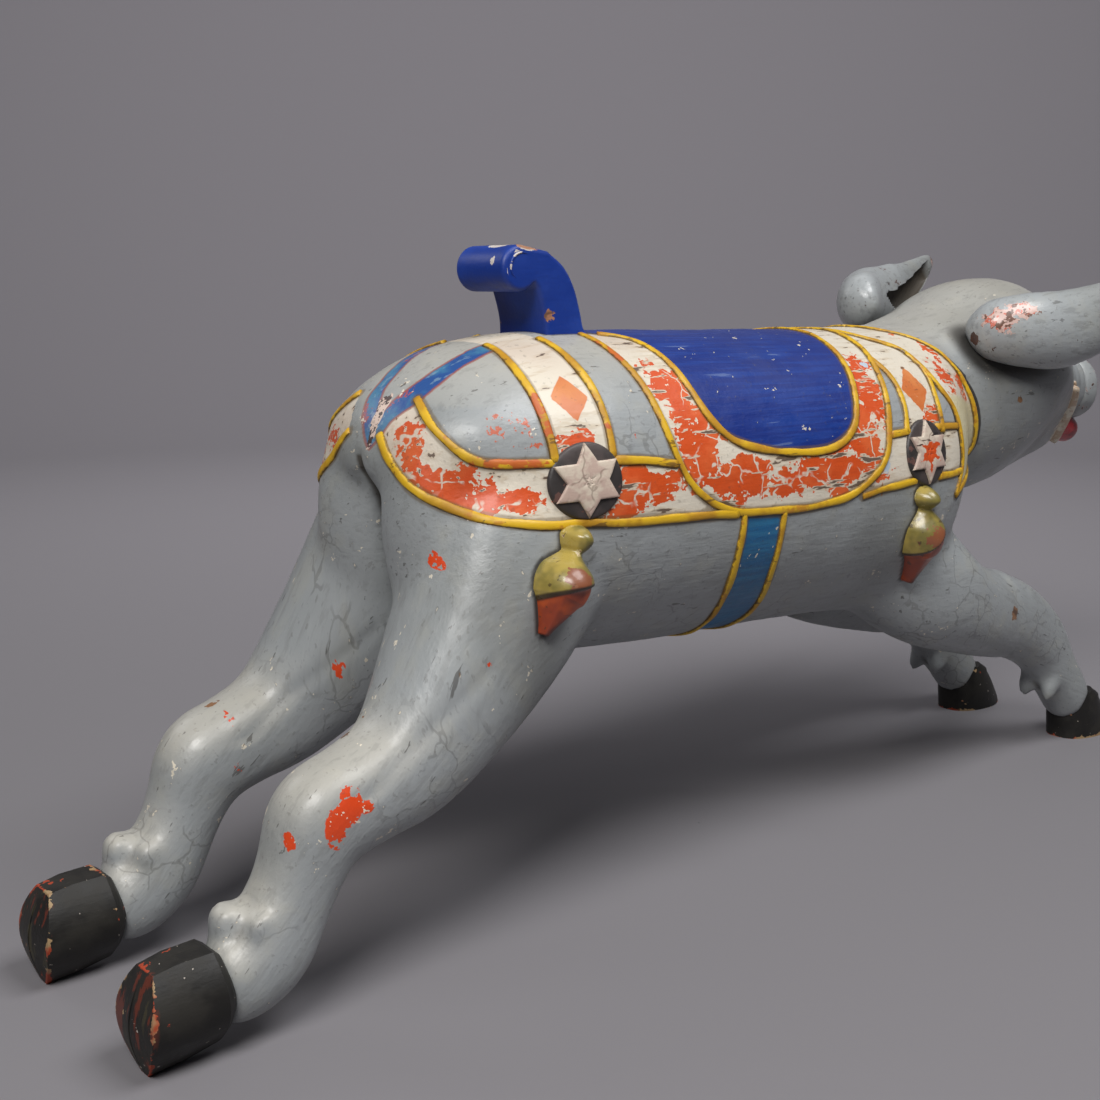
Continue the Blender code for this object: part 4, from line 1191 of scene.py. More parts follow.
def plain_paint(name, colour, flake, grime_shade_amount):
    """A single coat with flaked places, bare wood, splits and grime, with painted shade where its hollow
    mark says.
    """
    material, t, age = new_paint(name)
    grain, cloud, ragged = age["Grain"], age["Cloud"], flaky(t, age)
    shade = over(t, step_up(t, cloud, 0.40, 0.64), rgb(colour), tinted(colour, 0.86, 0.86, 0.84))
    shade = over(t, step_up(t, age["Mottle"], 0.50, 0.68), shade, (0.37, 0.36, 0.30, 1), 0.22)
    shade = over(t, step_up(t, grain, 0.46, 0.34), shade, (0.130, 0.130, 0.122, 1), 0.30)
    shade = over(t, step_up(t, grain, 0.665, 0.69), shade, (0.040, 0.034, 0.028, 1), 0.5)
    patch = over(t, step_up(t, ragged, 0.50, 0.53), rgb(flake), (0.60, 0.42, 0.37, 1))
    patch = over(t, step_up(t, grain, 0.53, 0.57), patch, (0.16, 0.080, 0.055, 1))
    shade = over(t, coat_left(t, ragged, read_mark(t, "chip")), shade, patch)
    wood = wood_of(t, age, (0.10, 0.040, 0.025, 1))
    shade = over(t, coat_left(t, ragged, read_mark(t, "bare")), shade, wood)
    # Dirt, and painted shade inside the ears' hollows; the snout's pits darken by the same mark.
    grime_shade_mask = grime_and_shade_of(t, age, grime_shade_amount)
    shade = over(t, grime_shade_mask, shade, (0.060, 0.048, 0.034, 1))
    rough = calc(t, "ADD", step_up(t, cloud, 0.35, 0.65, 0.30, 0.42), times(t, grime_shade_mask, 0.3))
    surface_out(t, shade, rough, relief_of(t, age), coat=0.18, coat_rough=0.22, depth=0.0016)
    return material


def blue_paint(paint):
    """Ultramarine with white chips and bare wood where hands have worn it."""
    material, t, age = new_paint("blue_cantle_paint")
    tone, torn = age["Mottle"], age["Torn"]
    colour = over(t, step_up(t, tone, 0.42, 0.64), rgb(paint.blue), tinted(paint.blue, 1.2, 1.3, 1.2))
    colour = over(t, step_up(t, age["Cloud"], 0.46, 0.38), colour, tinted(paint.blue, 0.5, 0.55, 0.7))
    colour = over(t, coat_left(t, torn, read_mark(t, "chip")), colour, (0.62, 0.56, 0.52, 1))
    wood = wood_of(t, age, (0.42, 0.20, 0.11, 1))
    colour = over(t, coat_left(t, torn, read_mark(t, "bare")), colour, wood)
    # Dirt, and painted shadow under the roll where the hollow mark is set.
    colour = over(t, grime_and_shade_of(t, age, 0.35), colour, (0.014, 0.016, 0.03, 1))
    surface_out(t, colour, step_up(t, tone, 0.3, 0.7, 0.42, 0.58), relief_of(t, age), coat=0.05)
    return material


def tassel_paint(paint):
    """Olive gold above a slanted seam, orange fringe below it, brown wear."""
    material, t, age = new_paint("gold_tassel_paint")
    tone, torn, fringe = age["Mottle"], age["Torn"], read_mark(t, "fringe")
    gold = over(t, step_up(t, tone, 0.40, 0.60), rgb(paint.gold), tinted(paint.gold, 0.45, 0.50, 0.5))
    gold = over(t, step_up(t, torn, 0.60, 0.64), gold, (0.60, 0.50, 0.26, 1))
    gold = over(t, coat_left(t, torn, read_mark(t, "worn")), gold, (0.24, 0.070, 0.035, 1), 0.9)
    orange = over(t, step_up(t, tone, 0.42, 0.58), (0.46, 0.075, 0.014, 1), (0.26, 0.040, 0.014, 1))
    colour = over(t, step_up(t, fringe, 0.0, 0.02), gold, orange)
    seam = step_up(t, calc(t, "ABSOLUTE", fringe), 0.035, 0.012)
    colour = over(t, seam, colour, (0.030, 0.014, 0.008, 1), 0.9)
    colour = over(t, step_up(t, fringe, 0.30, 0.42), colour, (0.045, 0.014, 0.010, 1), 0.7)
    colour = over(t, step_up(t, age["Grain"], 0.62, 0.66), colour, (0.05, 0.028, 0.014, 1), 0.7)
    rough = step_up(t, tone, 0.3, 0.7, 0.26, 0.44)
    surface_out(t, colour, rough, relief_of(t, age, 0.5, 0.7), coat=0.4, coat_rough=0.15)
    return material


def gloss_paint(name, colour, other, rough, coat):
    """A small painted detail in two close tones."""
    material, t, age = new_paint(name)
    shade = over(t, step_up(t, age["Torn"], 0.42, 0.58), rgb(colour), rgb(other))
    shade = over(t, step_up(t, age["Grain"], 0.64, 0.67), shade, (0.04, 0.03, 0.02, 1), 0.6)
    surface_out(t, shade, step_up(t, age["Mottle"], 0.3, 0.7, *rough), relief_of(t, age, 0.3, 0.2), coat)
    return material


def body_shells():
    """Every mass that is carved as one with the body."""
    shells = [upright_loft(TRUNK), upright_loft(HEAD), upright_loft(SNOUT)]
    for side in (-1, 1):
        shells += [limb_loft(rows, side) for rows in (HIND_LEG, BUTTOCK, FORELEG)]
        shells += [claw_loft(a, b, r, side * HIND_FOOT_OUT, power=4, blunt=10) for a, b, r in HIND_CLAWS]
        shells += [claw_loft(a, b, r, side * FRONT_FOOT_OUT, flat=0.8) for a, b, r in FRONT_CLAWS]
    return shells


def box_outline(outline, half):
    """A prism: the same outline in x and z at y = minus and plus half."""
    ring = np.array([[x, 0, z] for x, z in outline])
    return tube(np.stack([ring + (0, -half, 0), ring + (0, half, 0)]))


def ellipsoid(centre, radii, around=28, high=18):
    """Latitude and longitude grid of an ellipsoid."""
    turn = circle(around)
    tilt = np.radians(np.linspace(-88, 88, high))[:, None]
    level = np.cos(tilt)
    ring = np.stack([np.cos(turn) * level, np.sin(turn) * level, np.sin(tilt) + 0 * turn], axis=-1)
    return tube(np.array(centre) + ring * np.array(radii))


def laid_on(name):
    """The surface of a finished piece as a tree, in drawn places."""
    mesh = bpy.data.objects[name].data
    points = read_points(mesh) + (DRAWN_MIDDLE, 0, 0)
    return points, BVHTree.FromPolygons(points.tolist(), [p.vertices[:] for p in mesh.polygons])


def frames(spine, out):
    """Outward directions squared to a path, and the sideways ones: run times out."""
    run = unit(np.gradient(spine, axis=0))
    out = unit(out - run * (out * run).sum(axis=1)[:, None])
    return out, np.cross(run, out)


def cord(spine, out, half, high, around=12):
    """A closed tube along a path: an ellipse of a half width and a height at each point."""
    out, wide = frames(spine, out)
    across = np.outer(half, np.cos(circle(around)))[..., None] * wide[:, None]
    upward = np.outer(high, np.sin(circle(around)))[..., None] * out[:, None]
    return tube(spine[:, None] + across + upward)


def body_marks(surface, points, normals, edges, gape):
    """Where each coat, chip, hollow and stain of the body lies, and where light and shade are painted, by
    name.
    """
    marks = painted_areas(surface, points)
    worn = {"chip": CHIPS, "bare": BARE_PLACES, "pale": PALE_PLACES, "rub": RUBBED,
            "saddle_chip": SADDLE_CHIPS, "tail": TAIL_SCAR}
    for word, places in worn.items():
        marks[word] = spots(points, places)
    x, y, z = points.T
    # Painted shade, with dirt, in the creases and down the buttock cleft; on the cheek, patches of dirt. All
    # go into the hollow mark.
    cleft = 0.003 * bump(y, 0.006) * (x < 0.36) * (z < 0.455) * (z > 0.24)
    cheek = np.exp(-((x - 1.12) / 0.07) ** 2 - ((z - 0.455) / 0.050) ** 2)
    cheek = 0.0014 * cheek * (0.7 + 0.6 * ripples(points, 0.05, 11))
    marks["hollow"] = hollows(points, normals, edges) + cleft + cheek
    # Painted light: upward-facing places above z 0.50 and the hock tops are marked to be painted paler.
    painted_hock_light = 1.1 * ramp(normals[:, 2], 0.10, 0.70) * ramp(z, 0.27, 0.23) * (x < 0.30)
    marks["top"] = ramp(normals[:, 2], 0.60, 0.95) * (z > 0.50) + painted_hock_light
    grown = np.array(gape)
    grown = grown.mean(axis=0) + (grown - grown.mean(axis=0)) * 1.012
    wet = within(grown, x, z) | (spots(points, [(*MOUTH_HOLLOW[0], *MOUTH_HOLLOW[1])]) > -0.03)
    marks["mouth"] = wet.astype(float)
    lip = np.array([(x, 0, z) for x, z in (MOUTH_CORNER, CHIN)]) - (0.008, 0, 0.006)
    marks["lip"] = np.clip(1 - reach_to(lip, points * (1, 0, 1)) / LIP_WEAR, 0, 1)
    marks["grain_place"] = grain_places(points)
    return marks


class PIG_OT_carve_body(bpy.types.Operator):
    """Carve the body, head and legs as one surface and mark where each coat of paint lies"""
    bl_idname = "pig.carve_body"
    bl_label = "Carve Body"

    def execute(self, context):
        sizes = context.scene.pig_sizes
        obj = new_object("pig_carving", *merged(body_shells()))
        remesh = obj.modifiers.new("carve", "REMESH")
        remesh.mode = "VOXEL"
        remesh.voxel_size = sizes.body_grain
        mesh = baked(obj)
        points, edges = read_points(mesh), read_edges(mesh)
        claws = spots(points, [(0.086, s * HIND_FOOT_OUT, 0.104, 0.04, 0.04, 0.03) for s in (-1, 1)]
                      + [(1.274, s * FRONT_FOOT_OUT, 0.084, 0.04, 0.04, 0.05) for s in (-1, 1)])
        share = np.clip(claws * 3, 0, 1)[:, None]
        points = evened(points, edges, sizes.softening) * (1 - share) + evened(points, edges, 3) * share
        moved(mesh, points)
        moved(mesh, sculpted(points, read_normals(mesh), sizes))
        ahead, below = UPPER_LIP[0] + GAPE_AHEAD, CHIN[1] - GAPE_BELOW
        gape = [MOUTH_CORNER, UPPER_LIP, (ahead, UPPER_LIP[1]), (ahead, below), (CHIN[0], below), CHIN]
        for word, shape in (("gape", box_outline(gape, 0.12)), ("hollow", ellipsoid(*MOUTH_HOLLOW))):
            tool = new_object("tool_" + word, *shape)
            outward(tool)
            cut = obj.modifiers.new(word, "BOOLEAN")
            cut.operation = "DIFFERENCE"
            cut.solver = "EXACT"
            cut.object = tool
            baked(obj)
            bpy.data.objects.remove(tool)
        mesh = obj.data
        points, normals, edges = read_points(mesh), read_normals(mesh), read_edges(mesh)
        faces = [p.vertices[:] for p in mesh.polygons]
        bpy.data.objects.remove(obj)
        STORE["surface"] = BVHTree.FromPolygons(points.tolist(), faces)
        marks = body_marks(STORE["surface"], points, normals, edges, gape)
        paint = pig_paint(context.scene.pig_paint)
        finished("pig_body", points, faces, "grey_paint", paint, ("pig",), marks=marks)
        return {"FINISHED"}


class PIG_OT_lay_piping(bpy.types.Operator):
    """Lay the raised yellow lines of the harness on the body"""
    bl_idname = "pig.lay_piping"
    bl_label = "Lay Piping"

    def execute(self, context):
        sizes, surface = context.scene.pig_sizes, STORE["surface"]
        shells, across = [], []
        # The section: cosine across, sine to the 0.7 up, and a narrower foot sunk in the body.
        turn = np.linspace(0, np.pi, 11)
        profile = np.column_stack([np.cos(turn), np.sin(turn) ** 0.7])
        profile = np.vstack([profile, [(-0.8, -0.7), (0.8, -0.7)]])
        half, high = sizes.piping_width / 2, sizes.piping_height
        for side in (-1, 1):
            plates = [on_body(surface, side, *place)[0] for place in ROSETTES.values()]
            for n, knots in enumerate(PIPING.values()):
                points, out = path_on_body(surface, side, knots, 0.004)
                out, wide = frames(points, out)
                apart = np.min([np.linalg.norm(points - plate, axis=1) for plate in plates], axis=0)
                points = points - out * 0.006 * (apart < sizes.rosette_radius * 0.97)[:, None]
                uneven = 1 + 0.16 * ripples(points, 0.05, 20 + n)[:, None, None]
                sway = wide[:, None, :] * 0.0010 * ripples(points, 0.07, 40 + n)[:, None, None]
                swell = wide[:, None] * profile[None, :, :1] * half
                swell = swell + out[:, None] * profile[None, :, 1:] * high
                shells.append(tube(points[:, None, :] + sway + uneven * swell))
                across.append(np.tile(profile[:, 0], len(points)))
        paint = piping_paint(context.scene.pig_paint)
        marks = {"across": np.concatenate(across)}
        finished("harness_piping", *merged(shells), "grey_paint", paint, ("pig",), marks=marks)
        return {"FINISHED"}


def star_reach(turn):
    """Edge of a six-pointed star: a straight line from each inner corner to each point, a little uneven."""
    half = np.pi / 6
    off = np.abs(((turn - np.pi / 2 + half) % (2 * half)) - half)
    slant = STAR_OUTER * np.sin(off) + STAR_INNER * np.sin(half - off)
    return STAR_INNER * STAR_OUTER * np.sin(half) / slant + 0.008 * np.sin(5 * turn + 0.7)


def plane_of(points, out):
    """Quadratic terms of the sideways places, and how far each point stands out."""
    right = np.cross((0, 0, 1), out)
    up = np.cross(out, right)
    base = points.reshape(-1, 3) - points.reshape(-1, 3).mean(axis=0)
    u, v, w = base @ right, base @ up, base @ out
    return np.column_stack([np.ones(len(u)), u, v, u * u, v * v, u * v]), w


def smoothed(points, out):
    """The points moved along one direction on to the quadratic surface that fits them best."""
    terms, w = plane_of(points, out)
    bend = np.linalg.lstsq(terms, w, rcond=None)[0]
    return points + ((terms @ bend - w)[:, None] * out).reshape(points.shape)


def rosette_rings(surface, side, place, radius, rows, edge):
    """Rings of a round plate: each row's share of the edge, laid on the body and lifted to its height."""
    along, angle = ROSETTES[place]
    turn = circle(len(edge))
    rings, out = np.empty((2, len(rows), len(turn), 3))
    for i, (share, lift) in enumerate(rows):
        for j, a in enumerate(turn):
            r = radius * share * edge[j]
            down = angle - math.degrees(r * math.sin(a) / FLANK_RADIUS)
            rings[i, j], out[i, j] = on_body(surface, side, along + r * math.cos(a), down)
    flat = out.mean(axis=(0, 1))
    return smoothed(rings, flat) + flat * np.array([lift for share, lift in rows])[:, None, None]


class PIG_OT_set_rosettes(bpy.types.Operator):
    """Set the round plates with their raised stars on the flanks"""
    bl_idname = "pig.set_rosettes"
    bl_label = "Set Rosettes"

    def execute(self, context):
        radius, paint = context.scene.pig_sizes.rosette_radius, context.scene.pig_paint
        turn = circle(96)
        dark = disc_paint(paint)
        stars = {"rear": star_paint(paint, "rear_star_paint", 0.30),
                 "front": star_paint(paint, "front_star_paint", 0.95)}
        for place in ROSETTES:
            kinds = (("plate", PLATE_ROWS, 1 + 0 * turn, dark),
                     ("star", STAR_ROWS, star_reach(turn), stars[place]))
            for word, side in SIDES:
                for kind, rows, edge, material in kinds:
                    rings = rosette_rings(STORE["surface"], side, place, radius, rows, edge)
                    name = "rosette_%s_%s_%s" % (kind, place, word)
                    marks = {"reach": np.repeat([share for share, lift in rows], len(turn))}
                    finished(name, *tube(rings), "grey_paint", material, ("pig",), sharp=50, marks=marks)
        return {"FINISHED"}


def hind_hoof(side, steps=5, around=64):
    """Rings of a standing pointed oval, half width times the sine of the rise, straight from row to row,
    and how worn each point is."""
    knots = np.array(HIND_HOOF)
    spread = np.linspace(0, len(knots) - 1, (len(knots) - 1) * steps + 1)
    rows = np.column_stack([np.interp(spread, np.arange(len(knots)), column) for column in knots.T])
    keel_x, keel_z, top_x, top_z, half = rows.T[:, :, None]
    rise = 0.5 - 0.5 * np.cos(np.linspace(0, np.pi, around // 2))
    width = half * np.sin(np.pi * (0.045 + 0.835 * rise)) ** 0.85
    swell = HOOF_SWELL * np.sin(np.pi * rise) * np.clip(2 - spread, 0, 1)[:, None]
    x = keel_x + (top_x - keel_x) * rise - swell
    z = keel_z + (top_z - keel_z) * rise
    middle = side * HIND_FOOT_OUT
    right = np.stack([x, middle - width, z], axis=-1)
    left = np.stack([x, middle + width, z], axis=-1)
    rings = np.concatenate([right, left[:, ::-1]], axis=1)
    width = np.concatenate([width, width[:, ::-1]], axis=1)
    row = spread[:, None] + 0 * width
    low = rings[..., 2] < 0.02
    sole = ramp(row, 1.12, 1.02)
    ridge = ramp(rings[..., 2], 0.074, 0.084) * (width < 0.024) * (row > 1)
    ledge, coronet = bump(row - 1, 0.06), bump(row - 3, 0.14)
    worn = 0.08 + 0.34 * ledge + 0.34 * ledge * low + 0.15 * ridge + 0.12 * coronet + 0.08 * sole
    return rings, {"sole": sole.ravel(), "worn": np.clip(worn, 0, 0.9).ravel()}


def front_hoof(side):
    """Rings of an oval: cosine from heel to toe, sine to the 0.75 across and narrower ahead, with a cleft
    at the toe, and how worn each point is."""
    heel, toe, z, half = through(FRONT_HOOF, 10).T[:, :, None]
    turn = circle(64)
    c, s = np.cos(turn), np.sin(turn)
    y = np.sign(s) * np.abs(s) ** 0.75 * half * (1 - 0.25 * np.maximum(c, 0) ** 2)
    x = (heel + toe) / 2 + c * (toe - heel) / 2 - 0.007 * bump(y, 0.0035) * (c > 0)
    rise = z + 0.004 * np.abs(np.sin(2 * turn)) * (z > 0.05)
    worn = 0.12 + 0.50 * ramp(z, 0.006, 0) + 0.26 * bump(z - 0.056, 0.005) + 0 * c
    rings = np.stack([x, side * FRONT_FOOT_OUT + y, rise], axis=-1)
    return rings, {"sole": 0 * x.ravel(), "worn": worn.ravel()}


class PIG_OT_fit_hooves(bpy.types.Operator):
    """Fit the four worn black hooves"""
    bl_idname = "pig.fit_hooves"
    bl_label = "Fit Hooves"

    def execute(self, context):
        paint = hoof_paint(context.scene.pig_paint)
        for word, side in SIDES:
            for name, shape, sharp in (("hind_hoof_", hind_hoof, 28), ("front_hoof_", front_hoof, 45)):
                rings, marks = shape(side)
                finished(name + word, *tube(rings), "grey_paint", paint, ("pig",), sharp=sharp, marks=marks)
        return {"FINISHED"}


def ear_rings(side):
    """Rings across the ear's run: half width times the cosine, bulge times the sine, all times a quarter
    circle at the root; on the inner side the hollow's floor lies EAR_WALL within the outer bulge."""
    rows = through(EAR, 12)
    run = unit(np.gradient(rows[:, :3], axis=0))
    out = unit(np.cross((0, 0, 1), run))
    up = np.cross(run, out)
    c, s = np.cos(circle(96))[None, :], np.sin(circle(96))[None, :]
    gone = run_length(rows[:, :3])
    dome = np.sqrt(1 - (1 - np.clip(gone / EAR_DOME, 0.02, 1)) ** 2)[:, None]
    half, bulge, inner = rows[:, 3:].T[:, :, None]
    start, lean, top, rise = EAR_HOLLOW
    ahead = rows[:, :1] - start
    cut = ramp(ahead + lean * c, 0, 0.006) * ramp(top + rise * ahead - c, 0, 0.08)
    cut = cut * ramp(c, -0.93, -0.88) * ramp(ahead, 0.202, 0.182)
    shell = np.maximum(-s * bulge - EAR_WALL, s * inner)
    depth = np.where(s > 0, s * bulge, s * inner * (1 - cut) + shell * cut) * dome
    points = rows[:, None, :3] + (c * half * dome)[..., None] * up[:, None] + depth[..., None] * out[:, None]
    points += np.array(EAR_SHIFT[side]) * np.linspace(2, 0, len(rows)).clip(0, 1)[:, None, None]
    points[..., 1] *= side
    # Painted shade: the second value marks the inner side where the hollow is cut, so that the paint darkens
    # it.
    return points, (np.where(s < 0, cut, 0) * 0.0040).ravel()


class PIG_OT_fit_ears(bpy.types.Operator):
    """Fit the two leaf-shaped ears, bulging outside and hollow inside"""
    bl_idname = "pig.fit_ears"
    bl_label = "Fit Ears"

    def execute(self, context):
        # Painted light: the ears' grey is 1.15 times the body's, as if more strongly lit.
        grey = tuple(1.15 * c for c in context.scene.pig_paint.grey)
        paint = plain_paint("grey_ear_paint", grey, (0.56, 0.125, 0.075), 0.85)
        for word, side in SIDES:
            rings, hollow = ear_rings(side)
            flat = rings.reshape(-1, 3)
            marks = {
                "chip": np.clip(spots(flat, EAR_CHIPS) * 1.1 + 0.10, 0, 0.72),
                "bare": np.clip(spots(flat, EAR_BARE) * 2, 0, 1),
                # Painted shade inside the ear's hollow.
                "hollow": hollow,
            }
            name, node = "carved_ear_" + word, "ear_" + word
            finished(name, *tube(rings), "grey_paint", paint, (node,), sharp=60, marks=marks)
        return {"FINISHED"}


def cantle_rings():
    """The cantle's outline, its roll an arc, repeated across the width; near each side it is drawn in by
    a quarter circle."""
    cx, cz, r = CANTLE_ROLL
    turn = np.radians(np.linspace(75, 320, 44))
    roll = np.column_stack([cx + r * np.cos(turn), cz + r * np.sin(turn)])
    foot = np.array([(CANTLE_BACK[-1][0], CANTLE_SEAT), (CANTLE_FRONT[0][0], CANTLE_SEAT)])
    outline = np.vstack([through(CANTLE_FRONT, 8), roll, through(CANTLE_BACK, 6), foot])
    half, soft, flats = CANTLE_WIDTH / 2, 0.005, 13
    swing_in = np.linspace(0, np.pi / 2, 7)
    inset = soft * (1 - np.sin(swing_in))
    inset = np.concatenate([inset, np.zeros(flats), inset[::-1]])
    rim = -half + soft * (1 - np.cos(swing_in))
    across = np.linspace(-half + soft + 0.002, half - soft - 0.002, flats)
    across = np.concatenate([rim, across, -rim[::-1]])
    run = np.roll(outline, -1, axis=0) - np.roll(outline, 1, axis=0)
    run /= np.linalg.norm(run, axis=1)[:, None] + 1e-9
    inward = np.column_stack([-run[:, 1], run[:, 0]])
    if ((outline.mean(axis=0) - outline) * inward).sum() < 0:
        inward = -inward
    flat = outline[None] + inward[None] * inset[:, None, None]
    return np.stack([flat[..., 0], np.broadcast_to(across[:, None], flat.shape[:2]), flat[..., 1]], axis=-1)


def volute(side):
    """A thin cord wound along an arc of shrinking radius on the end of the roll, thin at both its ends."""
    cx, cz = CANTLE_ROLL[:2]
    t = np.linspace(0, 1, 40)
    wind, size = np.radians(60 + 170 * t), 0.0150 - 0.004 * t
    y = 0 * t + side * CANTLE_WIDTH / 2
    spine = np.column_stack([cx + size * np.cos(wind), y, cz + size * np.sin(wind)])
    thick = 0.0012 * np.sin(np.pi * np.clip(t, 0.03, 0.97)) ** 0.5
    return cord(spine, np.tile((0.0, side, 0.0), (len(t), 1)), thick, thick)


class PIG_OT_fit_cantle(bpy.types.Operator):
    """Fit the rolled blue upright behind the seat"""
    bl_idname = "pig.fit_cantle"
    bl_label = "Fit Cantle"

    def execute(self, context):
        paint = blue_paint(context.scene.pig_paint)
        rings = cantle_rings()
        points, half = rings.reshape(-1, 3), CANTLE_WIDTH / 2
        corner = ramp(np.abs(points[:, 1]), half - 0.010, half)
        low = ramp(points[:, 2], CANTLE_SEAT + 0.024, CANTLE_SEAT + 0.016)
        marks = {
            "chip": np.clip(spots(points, CANTLE_CHIPS) * 1.5 + 0.05 + 0.10 * corner + 0.42 * low, 0, 0.85),
            "bare": np.clip(spots(points, CANTLE_BARE) * 1.6, 0, 0.85),
            # Painted shadow in the crease under the roll.
            "hollow": 0.0012 * bump(points[:, 0] - 0.452, 0.012) * bump(points[:, 2] - 0.598, 0.012),
        }
        finished("painted_cantle", *tube(rings), "blue_paint", paint, ("cantle",), sharp=50, marks=marks)
        points, faces = merged([volute(-1), volute(1)])
        flags = np.zeros(len(points))
        marks = {"chip": flags + 0.30, "bare": flags, "hollow": flags}
        finished("cantle_volutes", points, faces, "blue_paint", paint, ("cantle",), marks=marks)
        return {"FINISHED"}


def tassel_rings(surface, side, place):
    """Half-round sections down a line on the flank: half width times the cosine, the standing-out times
    the sine, with three flutes and a step in below the seam; and the marks of the seam and of wear."""
    ax, az, bx, bz = TASSEL_PLACES[place]
    starts = [Vector((x, side * 0.5, z)) for x, z in ((ax, az), (bx, bz))]
    top, foot = [np.array(surface.ray_cast(start, Vector((0, -side, 0)))[0]) for start in starts]
    along = unit(foot - top)
    out = np.array((0.0, side, 0.0))
    out = unit(out - along * out.dot(along))
    across = np.cross(along, out)
    share, half, proud = through(TASSEL, 8).T[:, :, None]
    turn = np.linspace(0, np.pi, 33)[None, :]
    fringe = share - TASSEL_SEAM[place] + 0.16 * np.cos(turn) * side + 0.03 * np.sin(turn)
    flutes = 0.10 * ramp(fringe, -0.01, 0.04) * np.abs(np.sin(3 * turn)) ** 0.6
    step = 1 - 0.07 * ramp(fringe, 0, 0.012)
    reach = (proud + TASSEL_INSET) * (1 - flutes) * step
    down = share ** TASSEL_GATHER[place] * TASSEL_LENGTH[place]
    ring = top + along * down[..., None] - out * TASSEL_INSET
    ring = ring + across * (np.cos(turn) * half * step)[..., None] + out * (np.sin(turn) * reach)[..., None]
    worn = 0.22 + 0.72 * bump(share - 0.50, 0.09) * bump(turn - np.pi / 2 - 0.15 * side, 0.55)
    return ring, {"fringe": fringe.ravel(), "worn": np.clip(worn, 0, 0.85).ravel()}


class PIG_OT_hang_tassels(bpy.types.Operator):
    """Hang the four half-round tassels on the flanks"""
    bl_idname = "pig.hang_tassels"
    bl_label = "Hang Tassels"

    def execute(self, context):
        paint = tassel_paint(context.scene.pig_paint)
        for place in TASSEL_PLACES:
            for word, side in SIDES:
                rings, marks = tassel_rings(STORE["surface"], side, place)
                node = "tassel_%s_%s" % (place, word)
                finished("carved_" + node, *tube(rings), "gold_paint", paint, (node,), marks=marks)
        return {"FINISHED"}


def from_nostril(y, z, side, wide, high):
    """How far a place of the snout lies from a nostril's middle, as a share of two reaches."""
    return np.hypot((y - side * NOSTRIL[0]) / wide, (z - NOSTRIL[1]) / high)


def snout_rings():
    """The disc's oval rings, then rings that shrink to its middle, where two soft round pits sink in,
    each with a low rim; and the marks of its worn edge and of a darkening in the pits."""
    c, s = oval(72, 2.2)
    x, z, high, wide = through(SNOUT_DISC, 6).T[:, :, None]
    disc = np.stack([x + 0 * c, c * wide, z + s * high], axis=-1)
    front, middle, high, wide = SNOUT_DISC[-1]
    shrink = np.linspace(0.94, 0.02, 22)[:, None]
    y, z = c * wide * shrink, middle + s * high * shrink
    x = front - 0.0016 * (1 - shrink) + 0 * c
    for side in (-1, 1):
        off = from_nostril(y, z, side, 0.0065, 0.0105)
        x = x - 0.0095 * bump(off, 1) + 0.0010 * bump(off - 1.35, 0.35)
    rings = np.concatenate([disc, np.stack([x, y, z], axis=-1)])
    x, y, z = rings.reshape(-1, 3).T
    pit = sum(bump(from_nostril(y, z, side, 0.0075, 0.0115), 1) for side in (-1, 1)) * (x > front - 0.014)
    edge = SNOUT_DISC[3][0]
    chip = ramp(x, edge, edge + 0.003) * 0.85 + 0.06
    return rings, {"chip": chip, "bare": 0 * pit, "hollow": pit * 0.0022}


def lip_cords(surface):
    """Uneven cords along the mouth's edges, where level rays from the side meet the body, thickest in
    their middle."""
    shells = []
    corner = np.array(MOUTH_CORNER)
    for side in (-1, 1):
        for end, off, wide, high in LIPS:
            spine = []
            for u in np.linspace(0.02, 0.95, 30):
                x, z = corner + (np.array(end) - corner) * u
                start = Vector((x + off, side * 0.2, z + off))
                hit = surface.ray_cast(start, Vector((0, -side, 0)))[0]
                if hit is not None:
                    spine.append(np.array(hit))
            spine = spaced(np.array(spine), 0.004)
            count = len(spine)
            edges = np.column_stack([np.arange(count - 1), np.arange(1, count)])
            spine[1:-1] = evened(spine, edges, 2)[1:-1]
            t = np.linspace(0, 1, count)
            half = wide * (0.35 + 0.65 * np.sin(np.pi * np.clip(t + 0.08, 0, 1)) ** 0.6)
            half *= 1 + 0.22 * ripples(spine, 0.02, 9)
            shells.append(cord(spine, np.tile((0.0, side, 0.0), (count, 1)), half, high + 0 * t))
    return merged(shells)


def tongue_rings():
    """Flat ovals along the tongue, leaning ahead as the sine, with a soft groove on top."""
    x, z, r = through(TONGUE, 8).T[:, :, None]
    turn = circle(40)
    c, s = np.cos(turn) * r, np.sin(turn) * r
    groove = 1 - 0.14 * bump(turn - np.pi / 2, 0.35)
    return np.stack([x + s * 0.40, c * 1.50, z - 0.003 + s * 1.25 * groove], axis=-1)


def eye_seat(surface, side):
    """The body's point nearest to an eye, and the ways outward, sideways and upward from it."""
    nearest = np.array(EYE) * (1, side, 1) + (0, side * 0.01, 0)
    seat, out = [np.array(v) for v in surface.find_nearest(Vector(nearest))[:2]]
    right = unit(np.cross((0, 0, 1), out))
    return seat, out, right, np.cross(out, right)


def eyeball(seat, out, right, up):
    """Half an ellipsoid, ring by ring from its foot to its top, on a foot sunk in the head."""
    turn = circle(40)
    tilt = np.radians(np.linspace(0, 88, 14))[:, None]
    ring = (np.cos(turn) * np.cos(tilt))[..., None] * right * EYE_WIDE * 0.78
    ring = ring + (np.sin(turn) * np.cos(tilt))[..., None] * up * EYE_HIGH * 0.66
    ball = seat - out * 0.0025 + ring + (np.sin(tilt) + 0 * turn)[..., None] * out * 0.0055
    return tube(np.concatenate([ball[:1] - out * 0.004, ball]))


